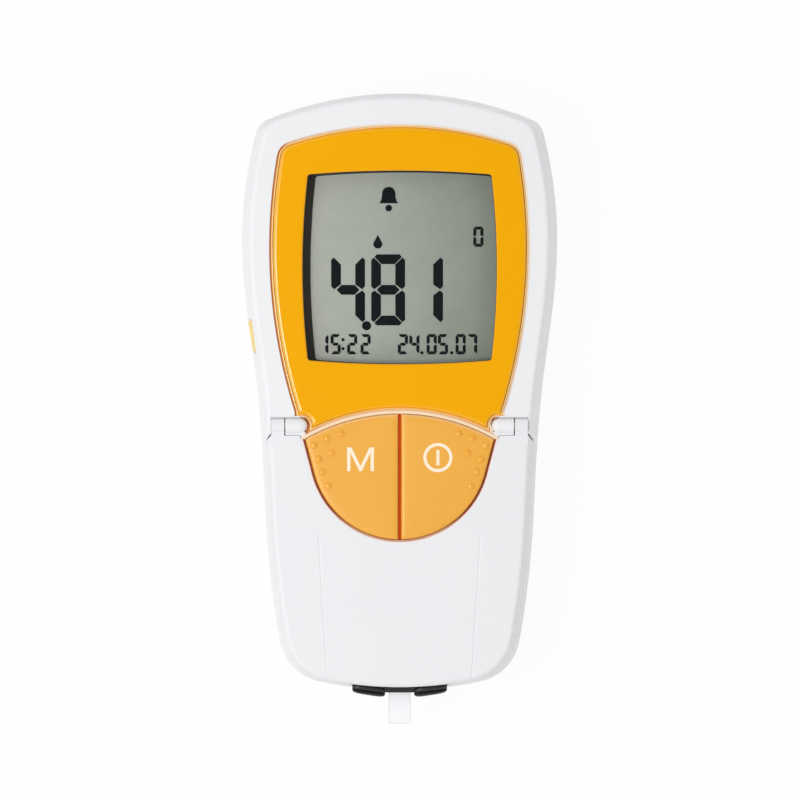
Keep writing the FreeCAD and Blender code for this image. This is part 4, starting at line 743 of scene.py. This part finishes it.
button_orange = moulded_with_painted_light("button_orange", (244, 178, 68), (240, 170, 56), (250, 218, 178), 0.34, grain=2800.0,
                           depth=3e-6, cloud=0.7)
CAP_LOW, CAP_EDGE, CAP_CROWN, CAP_HIGHLIGHT, HIGHLIGHT_START = 25.6, 0.8, 0.06, 0.45, 0.3
CROWN_SHARES = np.linspace(0.9, 0.1, 9)
STEM_RADIUS, STEM_X, STEM_Y, STEM_CLEAR = 2.5, 9.5, -20.0, 0.5


def cap_plan(node):
    """The outline of a button's cap at its foot, without the stem's."""
    plan = level_points(node, CAP_LOW)
    return plan[np.hypot(np.abs(plan[:, 0]) - STEM_X, plan[:, 1] - STEM_Y) > STEM_RADIUS + STEM_CLEAR]


def button(node, body, side):
    """A button: its CAD outline at the foot, a quarter-round edge, a crown that sinks with the square of the way
    out from the middle, and a round stem below. Rim weight, a painted highlight, is high on the edge that faces up
    the meter."""
    low, high = height_span(node)
    plan = cap_plan(node)
    centre = plan.mean(0) * (0, 1) + (side * STEM_X, 0)
    turns = turns_through(plan, centre, 240)
    stem = STEM_RADIUS * rays(turns) + (side * STEM_X, STEM_Y)
    edge = [inset_outline(plan, centre, turns, inset) for inset in CAP_EDGE * ease]
    rows = [lifted(stem, low), lifted(stem, CAP_LOW), lifted(edge[0], CAP_LOW)]
    rows += [lifted(ring, height) for ring, height in zip(edge, high - CAP_EDGE * fall - CAP_CROWN)]
    rows += [lifted(centre + (edge[-1] - centre) * share, high - CAP_CROWN * share ** 2) for share in CROWN_SHARES]
    made = piece(node + "_cap", *wrapped_rows(rows, "both"), button_orange, body, "button_orange")
    facing = np.roll(edge[0], 1, 0) - np.roll(edge[0], -1, 0)
    upward = np.clip(facing[:, 0] / np.linalg.norm(facing, axis=1), 0, 1)
    weight = np.zeros((len(rows), len(turns)))
    weight[3:3 + len(swing)] = CAP_HIGHLIGHT * upward * np.sin(np.linspace(HIGHLIGHT_START, np.pi, len(swing)))[:, None]
    weigh(made, weight)
    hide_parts(node)
    return high


key_top = button("memory_button", "memory_key", -1)
button("power_button", "power_key", 1)


def domes(spots, top, radius, height, root, rings=6, count=20):
    """Low round bumps with their root sunk in a surface: spherical caps of stacked rings that a fan closes."""
    bend = np.linspace(0, np.pi / 2, rings)[:-1]
    profile = list(zip(radius * np.cos(bend), top - root + (height + root) * np.sin(bend)))
    caps = []
    for x, y in spots:
        points, faces = wrapped_rows(turned(x, y, profile, count), "open")
        last = len(points) - count + np.arange(count)
        fan = np.column_stack([last, np.roll(last, -1), np.full(count, len(points))])
        caps.append((np.vstack([points, [(x, y, top + height)]]), faces + fan.tolist()))
    return joined(caps)


BUMP_RADIUS, BUMP_HEIGHT, BUMP_ROOT = 0.95, 0.48, 0.1
BUMPS = np.array([(-15.1, -10.4), (-18.7, -11.7), (-22.1, -13.5), (-17.5, -15.4), (-20.8, -17.0),
                  (-19.8, -20.3), (-18.3, -23.9)])
bump_orange = moulded("bump_orange", (246, 176, 60), (240, 166, 48), 0.16, grain=2800.0, depth=1e-6)
for body, node, side in (("memory_key", "memory_button", 1), ("power_key", "power_button", -1)):
    piece(node + "_bumps", *domes(BUMPS * (side, 1), key_top - CAP_CROWN, BUMP_RADIUS, BUMP_HEIGHT, BUMP_ROOT),
          bump_orange, body, "button_orange")

MARK_ROOT, MARK_RISE = 0.12, 0.025
M_MIDDLE, M_HALF, M_LOW, M_HIGH, STROKE = -10.05, 3.45, -20.1, -14.0, 0.86
M_ARM, M_NECK, M_WAIST, M_FOOT = 1.35 * STROKE, 1.6 * STROKE, 1.5 * STROKE, 0.35 * STROKE
m_side = np.array([(M_FOOT, M_LOW), (M_HALF - STROKE, M_HIGH - M_NECK), (M_HALF - STROKE, M_LOW),
                   (M_HALF, M_LOW), (M_HALF, M_HIGH), (M_HALF - M_ARM, M_HIGH)])
m_outline = np.vstack([m_side, [(0, M_LOW + M_WAIST)], m_side[::-1] * (-1, 1)]) + (M_MIDDLE, 0)
RING_X, RING_Y, RING_OUTER, RING_INNER, BAR_HALF, BAR_REACH = 9.85, -16.6, 3.75, 2.93, 0.4, 2.0
mark_low, mark_high = key_top - MARK_ROOT, key_top + MARK_RISE
ring_profile = ((RING_OUTER, mark_low), (RING_OUTER, mark_high), (RING_INNER, mark_high), (RING_INNER, mark_low))
ring_rows = turned(RING_X, RING_Y, ring_profile, 96)
bar = slab(RING_X - BAR_HALF, RING_X + BAR_HALF, RING_Y - BAR_REACH, RING_Y + BAR_REACH)
mark_cream = moulded("mark_cream", (255, 240, 214), (252, 234, 204), 0.5, grain=1600.0)
piece("memory_mark", *raised([m_outline], mark_low, mark_high), mark_cream, "memory_key", "button_orange")
piece("power_mark", *joined([wrapped_rows(ring_rows, "ring"), raised([bar], mark_low, mark_high)]), mark_cream,
      "power_key", "button_orange")

# Rim and divider of the tray: the tray's edge shows round the buttons, pale peach along the top as a painted
# highlight and deep red-brown on the flanks as painted shade, and a low rib of a deeper orange, painted shade too,
# stands in the gap between the two buttons.

RIM_NEAR, RIM_FAR, RIM_SINK, RIM_FOOT, RIM_ROUND = 0.08, 0.96, 0.42, 26.4, 0.14
RIB_HALF, RIB_SINK, RIB_FOOT, RIB_SHORT = 0.31, 0.85, 24.6, 0.05
BEAD_NEAR, BEAD_FAR, BEAD_SINK, BEAD_ROUND = 0.14, 0.46, 0.6, 0.05
PALE_FROM, PALE_OVER, PALE_MOST = 0.55, 0.4, 0.8
KEY_CENTRE, KEY_GAP = np.array([0.0, -18.0]), 0.36
both_plans = np.vstack([cap_plan("memory_button"), cap_plan("power_button")])
both_plans = both_plans[np.abs(both_plans[:, 0]) > KEY_GAP]
corner_turn = math.atan2(*(both_plans[both_plans[:, 0].argmax()] - KEY_CENTRE)[::-1])
flank_turns = np.linspace(-np.pi - corner_turn, corner_turn, 260)


def round_keys(turns, profile):
    """A section of (distance out, height) points carried round the outline of both buttons and closed at its ends."""
    rows = [lifted(inset_outline(both_plans, KEY_CENTRE, turns, -out), height) for out, height in profile[::-1]]
    return wrapped_rows(list(np.stack(rows, 1)), "both")


rim_high, bead_high = key_top - RIM_SINK, key_top - BEAD_SINK
rim_profile = [(RIM_FAR, RIM_FOOT), (RIM_FAR, rim_high - RIM_ROUND), (RIM_FAR - RIM_ROUND, rim_high),
               (RIM_NEAR + RIM_ROUND, rim_high), (RIM_NEAR, rim_high - RIM_ROUND), (RIM_NEAR, RIM_FOOT)]
# The rim's pale peach along the top is a painted highlight on the tray's orange.
piece("tray_rim", *round_keys(np.linspace(corner_turn, np.pi - corner_turn, 200), rim_profile),
      moulded("rim_highlight_peach", (252, 226, 192), (248, 216, 176), 0.34), "housing", "tray_orange")
bead_profile = [(BEAD_FAR, RIM_FOOT), (BEAD_FAR, bead_high - BEAD_ROUND), (BEAD_FAR - BEAD_ROUND, bead_high),
                (BEAD_NEAR, bead_high), (BEAD_NEAR, RIM_FOOT)]
# The bead's dark red-brown is painted shade of the gap along the flanks, and its paler tint towards the bottom a
# painted highlight.
bead_shade_orange = moulded_with_painted_light("bead_shade_orange", (158, 56, 18), (142, 46, 12), (236, 178, 140), 0.4)
bead = piece("tray_bead", *round_keys(flank_turns, bead_profile), bead_shade_orange, "housing", "tray_orange")
bead_highlight = np.clip((-np.sin(flank_turns) - PALE_FROM) / PALE_OVER, 0, PALE_MOST)
weigh(bead, np.repeat(bead_highlight, len(bead_profile)))
rib_plan = slab(-RIB_HALF, RIB_HALF, both_plans[:, 1].min() + RIB_SHORT, both_plans[:, 1].max() + RIM_NEAR)
# The rib's orange, deeper than the tray's, is painted shade of the gap between the buttons.
rib_shade_orange = moulded("rib_shade_orange", (198, 68, 2), (186, 58, 0), 0.5, Specular_IOR_Level=0.15)
piece("tray_rib", *boxes([(rib_plan, RIB_FOOT, key_top - RIB_SINK)]), rib_shade_orange, "housing", "tray_orange")

# Set button: a small yellow key in the left wall, pushed inwards against its switch.
# Its face follows the slope of the wall and stands a little proud of it.

def soften(made, width, segments):
    """Rounds the edges of a piece by a width in millimetres."""
    bevel = made.modifiers.new("soft edges", "BEVEL")
    bevel.width = width * MM
    bevel.segments = segments


set_low, set_high = (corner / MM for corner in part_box("set_button"))
SET_FACE_TOP, SET_FACE_LOW, SET_TOP, SET_BOTTOM, SET_HEIGHT = -38.98, -37.72, 18.8, 10.3, 4.0
SET_FLANGE, SET_BACK, SET_NOSE, NOSE_LIFT, SET_EDGE, SET_CORNER = -34.5, -33.5, 1.5, 2.35, 0.5, 0.6
SET_SLOPE, FACE_BAND = 0.55, 1.0
key_plan = np.array([(SET_BACK, SET_BOTTOM), (SET_BACK, SET_TOP), (SET_FACE_TOP + SET_EDGE, SET_TOP),
                     (SET_FACE_TOP, SET_TOP - SET_CORNER), (SET_FACE_LOW, SET_BOTTOM + SET_CORNER),
                     (SET_FACE_LOW + SET_EDGE, SET_BOTTOM)])
set_top = set_low.z + SET_HEIGHT
set_points, set_faces = boxes([
    (key_plan, set_low.z, set_top), (slab(SET_FLANGE, SET_BACK, set_low.y, set_high.y), set_low.z, set_high.z),
    (slab(SET_BACK, set_high.x, SET_BOTTOM + SET_NOSE, SET_TOP - SET_NOSE), set_low.z + NOSE_LIFT, set_top)])
sloped = (set_points[:, 2] > set_low.z + SET_HEIGHT / 2) & (set_points[:, 0] < SET_FACE_LOW + FACE_BAND)
set_points[sloped, 0] += SET_SLOPE
set_yellow = moulded("set_yellow", (244, 214, 122), (238, 206, 106), 0.4)
set_key = piece("set_button_key", set_points, set_faces, set_yellow, "set_key", "set_yellow")
soften(set_key, 0.35, 3)
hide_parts("set_button")

# Measuring flap: the white lid over the strip, moulded like the housing, with two knuckles on steel pins.
# A foam ring inside it keeps light off the reading head.

FLAP_TONES = (237, 238, 240), (232, 233, 236)
flap_white = moulded("flap_white", *FLAP_TONES, 0.5, Specular_IOR_Level=0.4)
dress(flap_white, "measuring_flap")
FLAP_TOP, LIP_NEAR, LIP_OUT, LIP_FOOT, LIP_ROUND, FLUSH = 28.0, 0.52, 1.12, 27.14, 0.22, 0.01
lip_top = FLAP_TOP - FLUSH
lip_profile = [(LIP_NEAR, LIP_FOOT), (LIP_OUT, LIP_FOOT), (LIP_OUT, lip_top)]
lip_profile += zip(LIP_NEAR + LIP_ROUND * fall, lip_top - LIP_ROUND * ease)
# The lip's pink tint, strongest at its inner foot and on the edge nearest the keys, is a painted glow of the orange
# keys' light.
lip_glow_white = moulded_with_painted_light("lip_glow_white", *FLAP_TONES, (255, 214, 200), 0.5, Specular_IOR_Level=0.4)
lip = piece("flap_lip", *round_keys(flank_turns, lip_profile), lip_glow_white, "flap", "housing_white")
GLOW_FULL, GLOW_TOP = 0.9, 0.35
painted_glow = np.concatenate([[GLOW_FULL, 0, 0], np.linspace(GLOW_TOP, GLOW_FULL, len(swing))])
weigh(lip, np.tile(painted_glow[::-1], len(flank_turns)))

CREASE_FLOOR, CREASE_SINK, CREASE_NEAR, CREASE_FAR, CREASE_BELOW = 27.75, 0.13, 15, 22, -30
TOP_BAND, LOW_BAND = 0.05, 0.2
floor = level_points("measuring_flap", CREASE_FLOOR)
floor = floor[(floor[:, 0] > CREASE_NEAR) & (floor[:, 0] < CREASE_FAR) & (floor[:, 1] < CREASE_BELOW)]
crease_top, crease_end = floor[:, 1].max(), floor[:, 1].min()
top_ends = floor[floor[:, 1] > crease_top - TOP_BAND, 0]
low_ends = floor[floor[:, 1] < crease_end + LOW_BAND, 0]
crease_sides = np.array([[(top_ends.min(), crease_top), (low_ends.min(), crease_end)],
                         [(top_ends.max(), crease_top), (low_ends.max(), crease_end)]])
crease_points = np.vstack([lifted(crease_sides[0], lip_top), lifted(crease_sides.mean(0), FLAP_TOP - CREASE_SINK),
                           lifted(crease_sides[1], lip_top)])
crease_faces = [[0, 1, 3, 2], [2, 3, 5, 4]]
creases = [(crease_points * (side, 1, 1), [face[::side] for face in crease_faces]) for side in (1, -1)]
piece("flap_creases", *joined(creases), flap_white, "flap", "housing_white")
dress(moulded("seal_foam", (38, 38, 40), (52, 52, 54), 0.95, grain=1600.0, depth=8e-5), "light_seal")

# Strip guide: a glass-filled black channel that leads the test strip over the reading head,
# with a wing on each side of the mouth.

guide_black = moulded("guide_black", (30, 28, 27), (38, 36, 35), 0.3, grain=2400.0)
GUIDE_TOP, GUIDE_MOUTH, GUIDE_END, DECK, FLOOR_TOP, RAIL_TOP = -41.5, -75.6, -77.0, 21.0, 21.8, 23.2
CHANNEL, GUIDE_HALF, HOLE, READING_NEAR, READING_FAR, STOP = 3.05, 10.0, 2.4, -47.0, -57.0, -42.8
BRIDGE_LOW, BRIDGE_HIGH, WING_IN, WING_OUT = 22.45, 23.85, 4.1, 12.2
WING_BACK, WING_FOOT, WING_TOP = -72.0, 21.2, 24.4
guide_parts = [(slab(-CHANNEL, CHANNEL, STOP, GUIDE_TOP), DECK, RAIL_TOP),
               (slab(-CHANNEL, CHANNEL, READING_NEAR, STOP), DECK, FLOOR_TOP),
               (slab(-CHANNEL, CHANNEL, GUIDE_MOUTH, READING_FAR), DECK, FLOOR_TOP),
               (slab(-WING_IN, WING_IN, GUIDE_END, GUIDE_MOUTH), DECK, FLOOR_TOP),
               (slab(-WING_IN, WING_IN, GUIDE_END, GUIDE_MOUTH), BRIDGE_LOW, BRIDGE_HIGH)]
for side in (1, -1):
    guide_parts += [(slab(CHANNEL, GUIDE_HALF, GUIDE_MOUTH, GUIDE_TOP) * (side, 1), DECK, RAIL_TOP),
                    (slab(HOLE, CHANNEL, READING_FAR, READING_NEAR) * (side, 1), DECK, FLOOR_TOP),
                    (slab(WING_IN, WING_OUT, GUIDE_MOUTH, WING_BACK) * (side, 1), WING_FOOT, WING_TOP)]
guide = piece("guide_channel", *boxes(guide_parts), guide_black, "housing", "guide_black")
soften(guide, 0.15, 2)
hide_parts("strip_guide")

WING_LINE, WING_WIDTH, WING_NOSE, WING_MIDDLE = (-75.9, -76.95), (2.35, 2.85), 3.7, 22.9
WING_SECTION = ((1.0, 21.3), (1.0, 24.0), (0.9, 24.45), (0.65, 24.75), (0.3, 24.8), (0.02, 24.55), (-0.12, 24.1),
                (-0.2, 23.85), (-0.32, 23.95), (-0.55, 24.15), (-0.8, 24.0), (-0.95, 23.6), (-1.0, 23.1),
                (-1.0, 21.3))


def wing(side, stations=48):
    """A wing of the mouth: a ridged section carried from the outer to the inner end along a sloping line; the
    section swells from both ends, so that they are round."""
    share, swell = swelling(stations)
    way = (share + 1) / 2
    across, height = np.array(WING_SECTION).T
    x = np.broadcast_to(side * (WING_OUT - (WING_OUT - WING_NOSE) * way), (stations, len(across)))
    half = (WING_WIDTH[0] + (WING_WIDTH[1] - WING_WIDTH[0]) * way) / 2
    y = WING_LINE[0] + (WING_LINE[1] - WING_LINE[0]) * way + half * swell * across
    z = WING_MIDDLE + (height - WING_MIDDLE) * swell
    points, faces = wrapped_rows(list(np.stack([x, y, z], -1)), "both")
    return points, [face[::-side] for face in faces]


for side, name in ((1, "guide_wing_right"), (-1, "guide_wing_left")):
    piece(name, *wing(side), guide_black, "housing", "guide_black", crease=50.0)

# Test strip: a white polyester carrier with a yellow reagent pad near its inner end and a hold line near the
# outer one, both heat-bonded. It slides in from below.

strip_white = moulded("strip_white", (252, 253, 255), (248, 249, 252), 0.5, grain=1800.0)
dress(strip_white, "test_strip")
STRIP_TOP, STRIP_ROOT, PAD_RISE, LINE_RISE, EDGE_RISE = 22.35, 0.02, 0.06, 0.03, 0.02
PAD_HALF, PAD_LOW, PAD_HIGH, LINE_LOW, LINE_HIGH = 2.6, -55.0, -49.0, -84.6, -84.2
EDGE_HALF, EDGE_IN, EDGE_LOW, EDGE_HIGH, EDGE_BAND = 2.84, 2.64, -84.98, -44.0, 0.2
pad_yellow = moulded("pad_yellow", (236, 214, 140), (226, 200, 118), 0.9, grain=1500.0, depth=2e-5)
strip_edge = moulded("strip_edge", (230, 231, 232), (224, 225, 227), 0.5, grain=1800.0)
strip_pieces = (
    ("reagent_pad", pad_yellow, PAD_RISE, [slab(-PAD_HALF, PAD_HALF, PAD_LOW, PAD_HIGH)]),
    ("strip_line", strip_white, LINE_RISE, [slab(-PAD_HALF, PAD_HALF, LINE_LOW, LINE_HIGH)]),
    ("strip_border", strip_edge, EDGE_RISE, [slab(EDGE_IN, EDGE_HALF, EDGE_LOW, EDGE_HIGH),
                                             slab(-EDGE_HALF, -EDGE_IN, EDGE_LOW, EDGE_HIGH),
                                             slab(-EDGE_IN, EDGE_IN, EDGE_LOW, EDGE_LOW + EDGE_BAND)]))
for name, finish, rise, plans in strip_pieces:
    piece(name, *boxes([(plan, STRIP_TOP - STRIP_ROOT, STRIP_TOP + rise) for plan in plans]), finish, "strip",
          "strip_white")

# Data port: an infrared window of dark red acrylic in a white frame that closes a slot in the top end.
# The frame is pressed in from inside and lies flush with the sloping wall, the pane a little behind it.

port_low, port_high = (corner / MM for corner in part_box("ir_window"))
port_rim = level_points("ir_window", port_high.z)
PORT_CURVE = 1.0
port_face = port_rim[port_rim[:, 1] > port_rim[:, 1].max() - PORT_CURVE]
port_face = port_face[np.argsort(port_face[:, 0])]
PORT_BACK, PORT_SLOPE, PORT_SET_BACK, PANE_HALF, PANE_LOW, PANE_HIGH = 1.9, 0.0612, 0.3, 5.4, 16.1, 19.1
BROW_SLOPE = PORT_SLOPE * (port_high.z - PANE_LOW) / (port_high.z - PANE_HIGH)


def port_part(x0, x1, low, high, slope, ahead=0.0):
    """A block behind the curve of the top end from x0 to x1: its front follows the curve and leans by a slope."""
    x = np.linspace(x0, x1, 13)
    front = np.column_stack([x, np.interp(x, *port_face.T) + ahead])
    points, faces = boxes([(np.vstack([front, front[::-1] - (0, PORT_BACK)]), low, high)])
    points[:, 1] += slope * (port_high.z - points[:, 2])
    return points, faces


for name, *block in (("port_sill", port_low.x, port_high.x, port_low.z, PANE_LOW, PORT_SLOPE),
                     ("port_head", port_low.x, port_high.x, PANE_HIGH, port_high.z, BROW_SLOPE),
                     ("port_left", port_low.x, -PANE_HALF, PANE_LOW, PANE_HIGH, PORT_SLOPE),
                     ("port_right", PANE_HALF, port_high.x, PANE_LOW, PANE_HIGH, PORT_SLOPE)):
    piece(name, *port_part(*block), housing_white, "housing", "housing_white")
port_dark = moulded("port_dark", (34, 12, 16), (28, 8, 12), 0.12, grain=500.0, depth=1e-6)
pane = port_part(-PANE_HALF, PANE_HALF, PANE_LOW, PANE_HIGH, 0.0, -PORT_SET_BACK)
port = piece("ir_pane", *pane, port_dark, "housing", "port_dark")
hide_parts("ir_window")

# Housing screws: four self-tapping screws of plated steel, driven from behind to close the housing.
# Each has a pan head with a cross recess, sunk in its own well.

ARM_HALF, ARM_REACH = 0.3, 1.2
CROSS_STEPS = ((0.35, 0.9), (0.85, 0.6), (1.0, 0.0))
SCREW_PROFILE = ((1.5, 0.0), (1.8, 0.08), (2.0, 0.35), (2.0, 1.2), (1.2, 1.2), (1.2, 15.0))
TIP_RADIUS, CENTRE = 0.3, np.zeros(2)
screw_low, screw_high = height_span("housing_screws")
rims = level_points("housing_screws", screw_low)
quarters = [rims[(rims * side > 0).all(1)] for side in ((1, 1), (-1, 1), (-1, -1), (1, -1))]
arm = np.array([(ARM_REACH, -ARM_HALF), (ARM_REACH, ARM_HALF), (ARM_HALF, ARM_HALF)])
cross_points = np.vstack([arm, arm[:, ::-1] * (-1, 1), -arm, arm[:, ::-1] * (1, -1)])
screw_turns = turns_through(cross_points, CENTRE, 48)
cross, circle = at_turns(cross_points, CENTRE, screw_turns), rays(screw_turns)
screw_rows = [lifted(cross * share, screw_low + rise) for share, rise in CROSS_STEPS]
screw_rows += [lifted(circle * radius, screw_low + rise) for radius, rise in SCREW_PROFILE]
screw_rows += [lifted(circle * TIP_RADIUS, screw_high)]
one_screw, screw_faces = wrapped_rows(screw_rows, "both")
four = [(one_screw + (*(rim.min(0) + rim.max(0)) / 2, 0), screw_faces) for rim in quarters]
screws = piece("cross_screws", *joined(four), screw_steel, "housing", "contact_steel")
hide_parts("housing_screws")

# Studio: a white table top and backdrop in soft daylight from the upper left, seen straight from above.
# The table is one-sided: from below it is clear, and light reaches what stands on it through it.

def ray_is(tree, *kinds):
    """1 where a ray is of one of these kinds, and 0 elsewhere."""
    found = 0.0
    for kind in kinds:
        found = sums(tree, "MAXIMUM", put(tree, "LightPath", {}, kind), found)
    return found


FLOOR_HALF, FLOOR_LEVEL, FOOT_RAY, SHADOW_KEPT = 3.0, -0.0001, 0.004, 0.06


def white_ground(name):
    """A white surface that looks plain white itself but keeps a share of the shadows that fall on it. It is clear
    to what meets its back, and to short rays, which start at the foot of what stands on it."""
    made, tree = bare_finish(name, Base_Color=(0.9, 0.9, 0.9, 1), Roughness=0.9)
    seen = ray_is(tree, "Is Camera Ray", "Is Glossy Ray", "Is Transmission Ray")
    matt, bright = sole(tree, "BSDF_PRINCIPLED").outputs[0], put(tree, "Emission", {})
    plain = put(tree, "MixShader", {0: sums(tree, "MULTIPLY", seen, 1 - SHADOW_KEPT), 1: matt, 2: bright})
    short = sums(tree, "LESS_THAN", put(tree, "LightPath", {}, "Ray Length"), FOOT_RAY)
    hidden = sums(tree, "MAXIMUM", put(tree, "NewGeometry", {}, "Backfacing"), short)
    whole = put(tree, "MixShader", {0: hidden, 1: plain, 2: put(tree, "BsdfTransparent", {})})
    tree.links.new(whole, sole(tree, "OUTPUT_MATERIAL").inputs["Surface"])
    return made


floor_mesh = bpy.data.meshes.new("floor")
floor_plan = lifted(slab(-FLOOR_HALF, FLOOR_HALF, -FLOOR_HALF, FLOOR_HALF), FLOOR_LEVEL)
floor_mesh.from_pydata(floor_plan, [], [(0, 1, 2, 3)])
floor_mesh.materials.append(white_ground("floor_white"))
table = stand("floor", floor_mesh)

SIDE_LEVEL, ZENITH_LEVEL, ZENITH_START, ZENITH_FULL = 0.8, 0.05, 0.72, 0.97
scene = bpy.context.scene
scene.world = bpy.data.worlds.new("studio")
scene.world.use_nodes = True
sky = scene.world.node_tree
backdrop = sole(sky, "BACKGROUND")
upward = put(sky, "SeparateXYZ", {0: put(sky, "TexCoord", {}, "Generated")}, "Z")
fade = put(sky, "MapRange", {"Value": upward, "From Min": ZENITH_START, "From Max": ZENITH_FULL,
                             "To Min": SIDE_LEVEL, "To Max": ZENITH_LEVEL}, interpolation_type="SMOOTHSTEP")
seen = ray_is(sky, "Is Camera Ray", "Is Transmission Ray")
sky.links.new(sums(sky, "MAXIMUM", fade, seen), backdrop.inputs["Strength"])
backdrop.inputs["Color"].default_value = (1, 1, 1, 1)

KEY_PLACE, KEY_AIM, KEY_SIZE, KEY_WATTS = (-0.34, -0.09, 0.84), (0, 0, 0.02), 0.3, 3.6
key = stand("key", bpy.data.lights.new("key", "AREA"))
key.data.size = KEY_SIZE
key.data.energy = KEY_WATTS
key.location = KEY_PLACE
way = np.subtract(KEY_AIM, KEY_PLACE)
key.rotation_euler = (math.atan2(math.hypot(way[0], way[1]), -way[2]), 0, math.atan2(way[1], way[0]) - math.pi / 2)

FRAME_WIDTH, CAMERA_PLACE = 0.2057, (0.0001, -0.0018, 1.2)
camera = stand("camera", bpy.data.cameras.new("camera"))
camera.data.type = "ORTHO"
camera.data.ortho_scale = FRAME_WIDTH
camera.location = CAMERA_PLACE
scene.camera = camera
scene.view_settings.view_transform = "Standard"
